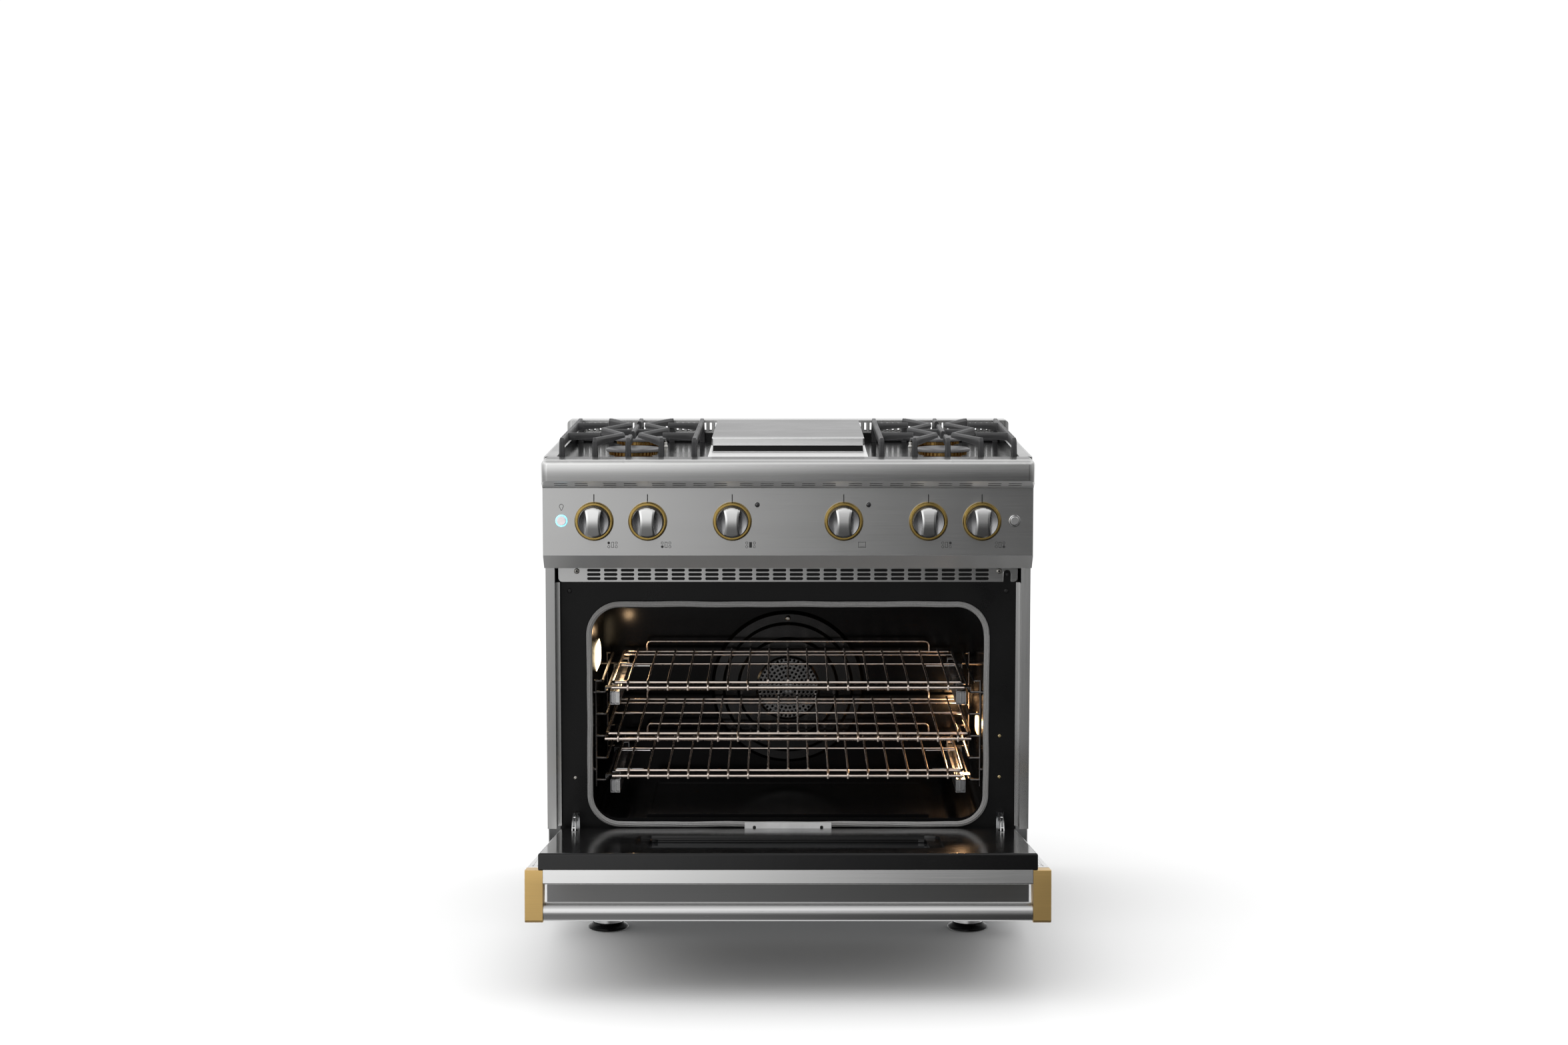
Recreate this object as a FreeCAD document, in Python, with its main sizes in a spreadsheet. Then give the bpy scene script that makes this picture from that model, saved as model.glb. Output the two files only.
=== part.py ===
import FreeCAD, Part
import math
import os
import re

import Sketcher
from FreeCAD import Placement, Rotation, Vector

# A freestanding gas range, 911 mm wide: a sheet-steel body on four levelling feet,
# an oven with three racks, a drop-down door, and a cooktop with four burners and a griddle.
# Millimetres. X runs to the right, Y to the back, Z up. The origin is on the floor under
# the middle of the body, so the front of the body is at negative Y.

SIZES = [
    ("range_width", 911, "body and door, side to side"),
    ("cook_height", 914, "floor to the cooktop's rim"),
    ("body_depth", 618, "side panels, front to back"),
    ("rear_bottom", 160, "floor to the bottom of the rear panel"),
    ("gauge", 1.5, "thickness of the sheet steel"),
    ("gap", 0.3, "space left between pieces that meet"),
    ("body_bottom", 101, "floor to the underside of the body"),
    ("kick_top", 146, "floor to the top of the kick panel"),
    ("kick_bottom", 58, "floor to the bottom of the kick panel"),
    ("kick_front", 335, "kick panel's face, ahead of the middle"),
    ("flange_width", 17.5, "front flange of a side panel"),
    ("jamb_face", 281, "inner flange of a side panel, ahead of the middle"),
    ("jamb_inner", 430.5, "inner edge of that flange, from the middle"),
    ("hinge_notch", 285, "side panels step back to here behind the door's foot"),
    ("hinge_notch_top", 205, "floor to the top of that step"),
    ("ledge_front", 399, "landing ledge's nose, ahead of the middle"),
    ("ledge_bottom", 875, "floor to the bottom of the ledge's face"),
    ("ledge_back", 325, "back of the landing ledge, ahead of the middle"),
    ("ledge_round", 10, "radius of the ledge's top front edge"),
    ("ledge_bow", 2.2, "how far the ledge's face bows out at its middle height"),
    ("ledge_bow_radius", 100, "radius of that bow"),
    ("ledge_corner", 12, "radius of the ledge's corners in plan"),
    ("panel_face", 362, "control panel's face, ahead of the middle"),
    ("panel_top", 859, "floor to the top of the control panel's face"),
    ("panel_bottom", 733, "floor to the bottom of that face"),
    ("panel_lip", 706, "floor to the lip under the control panel"),
    ("panel_lip_front", 334, "front of that lip, ahead of the middle"),
    ("knob_level", 797, "floor to the knobs' axes"),
    ("knob_radius", 28.5, "knob's outside radius"),
    ("knob_inner_row", 103.5, "middle knobs, from the middle"),
    ("knob_mid_row", 260.5, "next knobs, from the middle"),
    ("knob_outer_row", 360, "outer knobs, from the middle"),
    ("knob_reach", 34, "knob's length ahead of the panel"),
    ("grip_waist", 24.6, "width of a knob's grip bar at its middle"),
    ("grip_curve", 76.5, "radius of the grip bar's hollow sides"),
    ("grip_height", 18, "grip bar's height over the knob's skirt"),
    ("bezel_radius", 36.25, "outside radius of the ring round a knob"),
    ("bezel_bore", 29.2, "inside radius of that ring"),
    ("bezel_height", 7, "ring's length ahead of the panel"),
    ("stem_radius", 4, "valve stem's radius"),
    ("stem_bore", 4.05, "radius of the bore a stem turns in"),
    ("button_radius", 8.5, "push button's radius"),
    ("button_hole", 9, "radius of a push button's hole"),
    ("button_offset", 420.5, "push buttons, from the middle"),
    ("button_reach", 4, "push button's length ahead of the panel"),
    ("button_level", 798, "floor to the push buttons' axes"),
    ("lamp_left", -57, "left indicator lamp, from the middle"),
    ("lamp_right", 149.5, "right indicator lamp, from the middle"),
    ("lamp_level", 828, "floor to the indicator lamps"),
    ("lamp_radius", 4.7, "indicator lamp's radius"),
    ("frame_face", 272.4, "oven front frame's face, ahead of the middle"),
    ("frame_half", 434, "half width of the oven front frame"),
    ("grille_bottom", 672.5, "floor to the bottom of the vent grille"),
    ("grille_half", 434, "half width of the vent grille"),
    ("gasket_half", 376, "gasket's middle line, from the middle"),
    ("gasket_low", 207, "floor to the gasket's middle line, bottom"),
    ("gasket_high", 630, "floor to the gasket's middle line, top"),
    ("gasket_corner", 57, "corner radius of the gasket's middle line"),
    ("gasket_radius", 5.7, "radius of the gasket rope"),
    ("cavity_half", 378, "half width of the oven's inside"),
    ("cavity_floor", 214, "floor to the oven's floor"),
    ("cavity_top", 624, "floor to the oven's ceiling"),
    ("cavity_front", 270, "oven liner's front, ahead of the middle"),
    ("cavity_back", 176, "oven liner's back, behind the middle"),
    ("fan_level", 400, "floor to the fan's axis"),
    ("baffle_radius", 157, "outside radius of the fan baffle"),
    ("baffle_front", 152, "baffle's face, behind the middle"),
    ("baffle_hole", 2.65, "radius of the baffle's holes"),
    ("baffle_pitch", 8.2, "from one ring of holes to the next"),
    ("guide_rail", 346, "rack guide rungs, from the middle"),
    ("guide_post", 367, "rack guide posts, from the middle"),
    ("guide_low", 287, "floor to the lowest rung"),
    ("guide_pitch", 42.5, "rung to rung"),
    ("guide_top", 478, "floor to the loop over the rungs"),
    ("guide_front", 245, "front posts, ahead of the middle"),
    ("guide_back", 115, "rear posts, behind the middle"),
    ("guide_wire", 2.5, "radius of the guide wire"),
    ("glide_outer", 338.5, "outside of a fixed glide rail, from the middle"),
    ("glide_split", 329.3, "gap between fixed rail and runner, from the middle"),
    ("glide_inner", 320, "inside of a runner, from the middle"),
    ("glide_above", 4, "top of a glide rail over its rung"),
    ("glide_below", 21, "bottom of a glide rail under its rung"),
    ("glide_front", 262, "front of the glide rails, ahead of the middle"),
    ("glide_back", 110, "back of the glide rails, behind the middle"),
    ("rack_front", 272, "rack's front bar, ahead of the middle"),
    ("rack_second", 254, "rack's second bar, ahead of the middle"),
    ("rack_back", 142, "rack's back bar, behind the middle"),
    ("rack_upper_level", 477, "floor to the upper rack's frame"),
    ("rack_middle_level", 378.5, "floor to the middle rack's frame"),
    ("rack_lower_level", 307, "floor to the lower rack's frame"),
    ("rack_narrow", 335.5, "half width of the upper and lower racks"),
    ("rack_wide", 349, "half width of the middle rack"),
    ("rack_frame_wire", 3, "radius of a rack's frame"),
    ("rack_wire", 2, "radius of a rack's grid wires"),
    ("rack_pitch", 38, "grid wire to grid wire"),
    ("rack_drop", 7.5, "a rack's front bar below its frame"),
    ("rack_stop_half", 287, "half width of a rack's backstop"),
    ("rack_stop_rise", 21, "a rack's backstop above its frame"),
    ("pivot_front", 300, "door hinge axis, ahead of the middle"),
    ("pivot_level", 186.7, "floor to the door hinge axis"),
    ("door_open_angle", 82.9, "door's opening at rest"),
    ("door_top", 690, "floor to the shut door's top edge"),
    ("door_bottom", 178, "floor to the shut door's bottom edge"),
    ("skin_front", 337, "shut door's face, ahead of the middle"),
    ("skin_back", 312, "back of the shut door's skin, ahead of the middle"),
    ("liner_half", 432.5, "half width of the door liner"),
    ("liner_back", 283, "shut door's inner face, ahead of the middle"),
    ("liner_bottom", 183, "floor to the shut liner's bottom"),
    ("window_half", 253, "half width of the window"),
    ("window_low", 362, "floor to the shut window's bottom"),
    ("window_high", 576, "floor to the shut window's top"),
    ("handle_radius", 16.5, "handle tube's radius"),
    ("handle_front", 386, "handle's axis with the door shut, ahead of the middle"),
    ("handle_level", 668.5, "floor to that axis"),
    ("bracket_inner", 424.4, "inner side of a handle bracket, from the middle"),
    ("arm_offset", 404, "door hinge arms, from the middle"),
    ("arm_radius", 41, "hinge arm's middle radius about the hinge axis"),
    ("arm_half", 5, "half of the hinge arm's depth"),
    ("foot_x", 345, "feet, from the middle, sideways"),
    ("foot_y", 249, "feet, from the middle, front and back"),
    ("foot_radius", 38.5, "radius of a foot's pad"),
    ("leg_radius", 28.5, "radius of a leg"),
    ("leg_bore", 24.5, "radius of the bore that a foot's stem turns in"),
    ("leg_bottom", 37, "floor to the bottom of a leg sleeve"),
    ("well_floor", 898, "floor to the cooktop's sunken floor"),
    ("well_half", 432, "half width of that floor"),
    ("grate_x", 300.3, "middle of a grate, from the middle"),
    ("grate_pitch", 62.15, "grate leg to grate leg"),
    ("grate_front", 281, "middle of a grate's front legs, ahead of the middle"),
    ("grate_back", 232, "middle of a grate's rear legs, behind the middle"),
    ("grate_top", 946, "floor to the grates' tops"),
    ("burner_x", 297, "burners, from the middle, sideways"),
    ("burner_front", 155, "front burners, ahead of the middle"),
    ("burner_back", 106, "rear burners, behind the middle"),
    ("cap_radius", 52.5, "burner cap's radius"),
    ("griddle_half", 145.5, "half width of the griddle's cover"),
    ("griddle_front", 200, "front of that cover, ahead of the middle"),
    ("griddle_top", 941, "floor to the top of that cover"),
    ("trim_front", 262.5, "front of the island trim, behind the middle"),
    ("trim_top", 940, "floor to the top of the island trim"),
    ("inlet_x", 300, "gas inlet, from the middle"),
    ("inlet_level", 140, "floor to the gas inlet"),
    ("inlet_radius", 10.67, "radius of the gas inlet's pipe end"),
    ("gland_x", -300, "power gland, from the middle"),
    ("gland_level", 200, "floor to the power gland"),
]
NAMES = {name for name, _, _ in SIZES}

doc = FreeCAD.newDocument("gas_range")
sheet = doc.addObject("Spreadsheet::Sheet", "sizes")
for row, (name, number, note) in enumerate(SIZES, start=1):
    sheet.set(f"A{row}", name)
    sheet.set(f"B{row}", str(number))
    sheet.setAlias(f"B{row}", name)
    sheet.set(f"C{row}", note)
doc.recompute()

# The same sizes as plain numbers, for the shapes that code makes.
size = {name: float(sheet.get(name)) for name in NAMES}
NODES = []


# ---------------------------------------------------------------- helpers
def formula(text):
    """Sheet names in a text become references to the sheet."""

    def refer(found):
        word = found.group(0)
        return f"sizes.{word}" if word in NAMES else word

    return re.sub(r"[a-z][a-z_]+", refer, str(text))


def bind(thing, path, text):
    thing.setExpression(path, formula(text))


def node(thing, name):
    """Name a finished sub-part and put it on the list of those to write."""
    thing.Label = name
    NODES.append(thing)
    return thing


def block(x, y, z, name="block"):
    """A box; x, y and z are each (low, high) as sheet formulas."""
    box = doc.addObject("Part::Box", name)
    for side, letter, (low, high) in zip(("Length", "Width", "Height"), "xyz", (x, y, z)):
        bind(box, side, f"({high}) - ({low})")
        bind(box, f"Placement.Base.{letter}", low)
    return box


def both(half):
    """A span that is the same on both sides of the middle."""
    return f"-({half})", half


def on_side(side, low, high):
    """A span measured outwards from the middle, on the right (1) or on the left (-1)."""
    return (low, high) if side > 0 else (f"-({high})", f"-({low})")


TURNS = {
    "z": Rotation(),
    "x": Rotation(Vector(0, 1, 0), 90),
    "y": Rotation(Vector(1, 0, 0), -90),
}


def rod(radius, length, start, along="z", name="rod"):
    """A cylinder from start, whose three coordinates are sheet formulas."""
    piece = doc.addObject("Part::Cylinder", name)
    bind(piece, "Radius", radius)
    bind(piece, "Height", length)
    piece.Placement = Placement(Vector(), TURNS[along])
    for letter, low in zip("xyz", start):
        bind(piece, f"Placement.Base.{letter}", low)
    return piece


def joined(*pieces, name="joined"):
    fuse = doc.addObject("Part::MultiFuse", name)
    fuse.Shapes = list(pieces)
    return fuse


def group(*pieces, name="group"):
    """Separate solids that share a node or act as one cutting tool."""
    bundle = doc.addObject("Part::Compound", name)
    bundle.Links = list(pieces)
    return bundle


def cut(base, *tools, name="cut"):
    """Base less the tools, checked to have lost some volume."""
    result = doc.addObject("Part::Cut", name)
    result.Base = base
    result.Tool = tools[0] if len(tools) == 1 else group(*tools, name="tools")
    doc.recompute()
    if result.Shape.Volume > base.Shape.Volume - 0.01:
        raise RuntimeError(f"{name} removed nothing")
    return result


def fillet(base, radius, wanted, name="rounded"):
    """Round the edges that wanted() picks; radius is a number."""
    doc.recompute()
    result = doc.addObject("Part::Fillet", name)
    result.Base = base
    picked = [i for i, edge in enumerate(base.Shape.Edges, start=1) if wanted(edge)]
    result.Edges = [(i, radius, radius) for i in picked]
    return result


def runs_along(edge, direction):
    """Whether a straight edge runs along a direction."""
    if not isinstance(edge.Curve, (Part.Line, Part.LineSegment)):
        return False
    way = edge.Vertexes[-1].Point - edge.Vertexes[0].Point
    return way.Length > 0 and abs(way.normalize().dot(direction)) > 0.999


ALONG_X = Vector(1, 0, 0)
ALONG_Y = Vector(0, 1, 0)
ALONG_Z = Vector(0, 0, 1)


def body(name):
    return doc.addObject("PartDesign::Body", name)


def sketch_on(host, role, name, offset="0"):
    """A sketch on one of a body's own origin planes, moved along the plane's normal."""
    sketch = host.newObject("Sketcher::SketchObject", name)
    plane = [f for f in host.Origin.OriginFeatures if f.Role == role][0]
    sketch.AttachmentSupport = [(plane, "")]
    sketch.MapMode = "FlatFace"
    bind(sketch, "AttachmentOffset.Base.z", offset)
    return sketch


def outline(sketch, points):
    """A closed polygon whose corners are sheet formulas (across, up)."""
    count = len(points)
    first = sketch.GeometryCount
    spread = [
        Vector(100 * math.cos(2 * math.pi * i / count), 100 * math.sin(2 * math.pi * i / count), 0)
        for i in range(count)
    ]
    for i in range(count):
        sketch.addGeometry(Part.LineSegment(spread[i], spread[(i + 1) % count]))
    for i in range(count):
        here = first + i
        following = first + (i + 1) % count
        sketch.addConstraint(Sketcher.Constraint("Coincident", here, 2, following, 1))
    for i, (across, up) in enumerate(points):
        for kind, value in (("DistanceX", across), ("DistanceY", up)):
            place = 100.0
            number = sketch.addConstraint(Sketcher.Constraint(kind, -1, 1, first + i, 1, place))
            bind(sketch, f"Constraints[{number}]", value)


def circle(sketch, across, up, radius):
    """A circle placed and sized by sheet formulas."""
    here = sketch.addGeometry(Part.Circle(Vector(100, 100, 0), Vector(0, 0, 1), 5))
    for kind, value in (("DistanceX", across), ("DistanceY", up)):
        number = sketch.addConstraint(Sketcher.Constraint(kind, -1, 1, here, 3, 100.0))
        bind(sketch, f"Constraints[{number}]", value)
    number = sketch.addConstraint(Sketcher.Constraint("Radius", here, 5.0))
    bind(sketch, f"Constraints[{number}]", radius)


def pad(host, sketch, length, middle=False, back=False, name="pad"):
    feature = host.newObject("PartDesign::Pad", name)
    feature.Profile = sketch
    bind(feature, "Length", length)
    feature.Midplane = middle
    feature.Reversed = back
    doc.recompute()
    return feature


def pocket(host, sketch, length, middle=False, back=False, name="pocket"):
    before = host.Shape.Volume
    feature = host.newObject("PartDesign::Pocket", name)
    feature.Profile = sketch
    bind(feature, "Length", length)
    feature.Midplane = middle
    feature.Reversed = back
    doc.recompute()
    if host.Shape.Volume > before - 0.01:
        raise RuntimeError(f"{host.Name} {name} removed nothing")
    return feature


def revolve(host, sketch, name="revolution"):
    """Turn a sketch fully about its own vertical axis."""
    feature = host.newObject("PartDesign::Revolution", name)
    feature.Profile = sketch
    feature.ReferenceAxis = (sketch, ["V_Axis"])
    feature.Angle = 360
    doc.recompute()
    return feature


def round_edges(host, radius, wanted, name="fillet"):
    """A fillet feature on the edges of the body's tip that wanted() picks."""
    tip = host.Tip
    picked = [f"Edge{i}" for i, edge in enumerate(tip.Shape.Edges, start=1) if wanted(edge)]
    feature = host.newObject("PartDesign::Fillet", name)
    feature.Base = (tip, picked)
    bind(feature, "Radius", radius)
    doc.recompute()
    return feature


def coded(shape, name):
    """A sub-part whose shape code makes."""
    thing = doc.addObject("Part::Feature", name)
    thing.Shape = shape
    thing.Placement = Placement()
    return thing


def bent_rod(points, radius, bend):
    """A round wire through the points, with its corners bent to one radius."""
    corners = [Vector(*p) for p in points]
    edges = []
    last = corners[0]
    for before, corner, after in zip(corners, corners[1:], corners[2:]):
        back = (before - corner).normalize()
        ahead = (after - corner).normalize()
        half = back.getAngle(ahead) / 2
        setback = bend / math.tan(half)
        start = corner + back * setback
        end = corner + ahead * setback
        middle = corner + (back + ahead).normalize() * (bend / math.sin(half) - bend)
        edges.append(Part.LineSegment(last, start).toShape())
        edges.append(Part.Arc(start, middle, end).toShape())
        last = end
    edges.append(Part.LineSegment(last, corners[-1]).toShape())
    path = Part.Wire(edges)
    heading = (corners[1] - corners[0]).normalize()
    profile = Part.Wire([Part.Circle(corners[0], heading, radius).toShape()])
    return path.makePipeShell([profile], True, True)


def straight_rod(start, end, radius):
    way = Vector(*end) - Vector(*start)
    return Part.makeCylinder(radius, way.Length, Vector(*start), way)


def one_solid(pieces):
    fused = pieces[0].multiFuse(pieces[1:])
    return fused.Solids[0] if len(fused.Solids) == 1 else fused


# ---------------------------------------------------------------- body shell
def side_panel(side, name):
    """An outer sheet with a front flange, a web behind it and a narrow inner flange."""
    top = "well_floor - gauge - gap"
    half = "range_width / 2"
    front = "-body_depth / 2"
    back = "body_depth / 2 - gauge - gap"
    inner = f"{half} - flange_width"
    sheet_part = block(on_side(side, f"{half} - gauge", half), (front, back), ("body_bottom", top))
    face = block(on_side(side, inner, half), (front, f"{front} + gauge"), ("body_bottom", "panel_lip - 2"))
    web = block(on_side(side, inner, f"{inner} + gauge"), (front, "-jamb_face + gauge"),
                ("hinge_notch_top", "grille_bottom"))
    foot = block(on_side(side, "jamb_inner", inner), ("-jamb_face", "-jamb_face + gauge"),
                 ("hinge_notch_top", "grille_bottom"))
    ear = block(on_side(side, f"{half} - gauge", half), ("-ledge_back + gap", f"{front} + 1"),
                ("panel_top + 2 * gap", top))
    whole = joined(sheet_part, face, web, foot, ear)
    notch = block(on_side(side, f"{inner} - 5", f"{half} + 5"), (f"{front} - 5", "-hinge_notch"),
                  ("kick_top + 1", "hinge_notch_top"))
    return node(cut(whole, notch), name)


def rear_panel():
    """A plain back sheet, with rows of cooling slots and a hole for the power gland."""
    back = "body_depth / 2"
    sheet_part = block(both("range_width / 2"), (f"{back} - gauge", back),
                       ("rear_bottom", "well_floor - gauge - gap"))
    slots = []
    for level in (740, 765, 790):
        for step in range(-4, 5):
            middle = step * 70
            slots.append(block((f"{middle} - 22", f"{middle} + 22"), (f"{back} - 5", f"{back} + 5"),
                               (f"{level} - 4", f"{level} + 4")))
    hole = rod("9", "20", ("gland_x", f"{back} - 10", "gland_level"), "y")
    return node(cut(sheet_part, *slots, hole), "rear_panel")


def base_pan():
    """A tray that closes the bottom of the body."""
    outer = block(both("range_width / 2 - gauge - gap"),
                  ("-body_depth / 2 + gauge + gap", "body_depth / 2 - gauge - 2 * gap"),
                  ("body_bottom", "body_bottom + 20"))
    inner = block(both("range_width / 2 - 2 * gauge - gap"),
                  ("-body_depth / 2 + 2 * gauge + gap", "body_depth / 2 - 2 * gauge - 2 * gap"),
                  ("body_bottom + gauge", "body_bottom + 30"))
    return node(cut(outer, inner), "base_pan")


def kick_panel():
    """The folded steel panel across the bottom of the front, open behind and below."""
    back = "-body_depth / 2 - gap"
    outer = block(both("range_width / 2"), ("-kick_front", back), ("kick_bottom", "kick_top"))
    inner = block(both("range_width / 2 - gauge"), ("-kick_front + gauge", f"{back} + 5"),
                  ("kick_bottom - 5", "kick_top - gauge"))
    face = -size["kick_front"]
    softened = fillet(outer, 2.0, lambda e: runs_along(e, ALONG_X) and e.CenterOfMass.y < face + 1)
    return node(cut(softened, inner), "kick_panel")


def leg_sleeves():
    """Four steel tubes under the body that the feet screw into."""
    sleeves = []
    for x in ("foot_x", "-foot_x"):
        for y in ("foot_y", "-foot_y"):
            tube = rod("leg_radius", "body_bottom - leg_bottom", (x, y, "leg_bottom"))
            bore = rod("leg_bore", "body_bottom - leg_bottom", (x, y, "leg_bottom - 5"))
            sleeves.append(cut(tube, bore))
    return node(group(*sleeves), "leg_sleeves")


def foot(x, y, name):
    """A levelling foot: a flared pad, a steel collar with a groove, and a stem."""
    host = body(name)
    profile = sketch_on(host, "XZ_Plane", "profile")
    outline(profile, [
        ("0", "0"),
        ("foot_radius", "0"),
        ("foot_radius", "5"),
        ("foot_radius - 2.5", "9"),
        ("leg_radius + 1", "21"),
        ("leg_radius", "21"),
        ("leg_radius", "27"),
        ("leg_radius - 1.5", "28"),
        ("leg_radius - 1.5", "30"),
        ("leg_radius", "31"),
        ("leg_radius", "36"),
        ("leg_bore - 0.05", "36"),
        ("leg_bore - 0.05", "80"),
        ("0", "80"),
    ])
    revolve(host, profile)
    bind(host, "Placement.Base.x", x)
    bind(host, "Placement.Base.y", y)
    return node(host, name)


# ---------------------------------------------------------------- oven
def front_frame():
    """The black enamelled plate round the oven's mouth, with slots for the hinge arms."""
    face = "-frame_face"
    plate = block(both("frame_half"), (face, f"{face} + 2"), ("kick_top + 6", "715"))
    mouth = block(both("gasket_half + gasket_radius + gap"), (f"{face} - 5", f"{face} + 8"),
                  ("gasket_low - gasket_radius - gap", "gasket_high + gasket_radius + gap"))
    corner = size["gasket_corner"] + size["gasket_radius"] + size["gap"]
    rounded = fillet(mouth, corner, lambda e: runs_along(e, ALONG_Y))
    slots = [
        block(on_side(side, "arm_offset - 7", "arm_offset + 7"), (f"{face} - 5", f"{face} + 8"),
              ("pivot_level - 28", "pivot_level + 43"))
        for side in (-1, 1)
    ]
    return node(cut(plate, rounded, *slots), "front_frame")


def stadium(wide, high, deep, at):
    """A flat slot with round ends that runs along X, cut along Y."""
    r = high / 2
    left = Vector(-wide / 2 + r, 0, 0)
    right = Vector(wide / 2 - r, 0, 0)
    up = Vector(0, 0, r)
    edges = [
        Part.LineSegment(left + up, right + up).toShape(),
        Part.Arc(right + up, right + Vector(r, 0, 0), right - up).toShape(),
        Part.LineSegment(right - up, left - up).toShape(),
        Part.Arc(left - up, left - Vector(r, 0, 0), left + up).toShape(),
    ]
    prism = Part.Face(Part.Wire(edges)).extrude(Vector(0, deep, 0))
    prism.translate(at)
    return prism


def vent_grille():
    """A steel strip with three rows of slots, where the oven's cooling air comes out."""
    columns = 24
    pitch = 31.9
    levels = (678.6, 686.6, 694.7)
    face = "-frame_face - gauge"
    strip = block(both("grille_half"), (face, "-frame_face - gap"), ("grille_bottom", "712"))
    softened = fillet(strip, 8.0, lambda e: runs_along(e, ALONG_Y) and e.CenterOfMass.z < 680)
    start = -size["frame_face"] - 5
    slots = []
    for level in levels:
        for column in range(columns):
            x = (column - (columns - 1) / 2) * pitch
            slots.append(stadium(25.4, 5.4, 10, Vector(x, start, level)))
    notch_round = Part.makeCylinder(7, 10, Vector(414, start, 688), ALONG_Y)
    notch_foot = Part.makeBox(14, 10, 20, Vector(407, start, 668))
    tool = coded(Part.makeCompound(slots + [notch_round.fuse(notch_foot)]), "grille_slots")
    return node(cut(softened, tool), "vent_grille")


def oven_cavity():
    """The enamelled oven liner: five walls and a flange round the mouth."""
    front = "-cavity_front"
    outer = block(both("cavity_half + gauge"), (front, "cavity_back + gauge"),
                  ("cavity_floor - gauge", "cavity_top + gauge"))
    inner = block(both("cavity_half"), (f"{front} + gauge", "cavity_back"), ("cavity_floor", "cavity_top"))
    flange = block(both("cavity_half + 18"), (front, f"{front} + gauge"),
                   ("cavity_floor - 18", "cavity_top + 20"))
    mouth = block(both("cavity_half - 6"), (f"{front} - 5", f"{front} + gauge + 1"),
                  ("cavity_floor + 4", "cavity_top - 2"))
    inside = fillet(inner, 22.0, lambda e: runs_along(e, ALONG_Y))
    outside = fillet(outer, 23.5, lambda e: runs_along(e, ALONG_Y))
    rounded_mouth = fillet(mouth, 50.0, lambda e: runs_along(e, ALONG_Y))
    shaft_hole = rod("8", "20", ("0", "cavity_back - 10", "fan_level"), "y")
    return node(cut(joined(outside, flange), inside, rounded_mouth, shaft_hole), "oven_cavity")


def cavity_floor_panel():
    """A lift-out panel over the bake burner, with a shallow rim."""
    low = "cavity_floor + gap"
    outer = block(both("270"), ("-240", "82"), (low, f"{low} + 5"))
    dish = block(both("264"), ("-234", "76"), (f"{low} + 2", f"{low} + 10"))
    return node(cut(outer, dish), "cavity_floor_panel")


def hearth_plate():
    """The small steel plate over the gasket's joint, at the middle of the sill."""
    plate = block(both("82.5"), ("-282.6", "-281.5"), ("193", "212"))
    return node(fillet(plate, 2.0, lambda e: runs_along(e, ALONG_Y)), "hearth_plate")


def oven_gasket():
    """A closed loop of braided rope: four straight runs and four quarter turns."""
    level = "-cavity_front - gasket_radius"
    inner = "gasket_half - gasket_corner"
    across = f"2 * ({inner})"
    low_turn = "gasket_low + gasket_corner"
    high_turn = "gasket_high - gasket_corner"
    rise = f"{high_turn} - ({low_turn})"
    runs = [
        rod("gasket_radius", across, (f"-({inner})", level, "gasket_low"), "x"),
        rod("gasket_radius", across, (f"-({inner})", level, "gasket_high"), "x"),
        rod("gasket_radius", rise, ("-gasket_half", level, low_turn)),
        rod("gasket_radius", rise, ("gasket_half", level, low_turn)),
    ]
    corners = [(inner, high_turn, 0), (f"-({inner})", high_turn, 90),
               (f"-({inner})", low_turn, 180), (inner, low_turn, 270)]
    for x, z, turn in corners:
        bend = doc.addObject("Part::Torus", "bend")
        bind(bend, "Radius1", "gasket_corner")
        bind(bend, "Radius2", "gasket_radius")
        bend.Angle3 = 90
        stand = Rotation(Vector(1, 0, 0), 90)
        bend.Placement = Placement(Vector(), Rotation(Vector(0, 1, 0), -turn).multiply(stand))
        bind(bend, "Placement.Base.x", x)
        bind(bend, "Placement.Base.y", level)
        bind(bend, "Placement.Base.z", z)
        runs.append(bend)
    return node(joined(*runs), "oven_gasket")


def rack_guides():
    """A wire ladder on each side wall: two posts and six bent rungs."""
    levels = [size["guide_low"] + size["guide_pitch"] * step for step in range(5)]
    levels.append(size["guide_top"])
    ladders = []
    for side in (-1, 1):
        post = side * size["guide_post"]
        rail = side * size["guide_rail"]
        front = -size["guide_front"]
        back = size["guide_back"]
        wire = size["guide_wire"]
        pieces = [
            straight_rod((post, y, levels[0] - 12), (post, y, levels[-1] + 2), wire)
            for y in (front, back)
        ]
        for level in levels:
            inner = rail + side * 8 if level == size["guide_top"] else rail
            route = [(post, front, level), (inner, front, level), (inner, back, level), (post, back, level)]
            pieces.append(bent_rod(route, wire, 7))
        for y in (front, back):
            for z in (levels[0] + 20, levels[-1] - 22):
                pieces.append(straight_rod((post, y, z), (side * (size["cavity_half"] - 0.1), y, z), 4))
        ladders.append(one_solid(pieces))
    return node(coded(Part.makeCompound(ladders), "ladders"), "rack_guides")


def oven_light_lenses():
    """A glass lens over each of the two oven lamps, one on each side wall."""
    lenses = []
    for side, low, high in ((-1, 460, 515), (1, 325, 378)):
        pane = block(on_side(side, "cavity_half - 12", "cavity_half - gap"), ("-60", "60"), (low, high))
        inward = size["cavity_half"] - 11

        def faces_in(edge, limit=inward):
            return abs(edge.CenterOfMass.x) < limit

        lenses.append(fillet(pane, 5.0, faces_in))
    return node(group(*lenses), "oven_light_lenses")


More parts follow.
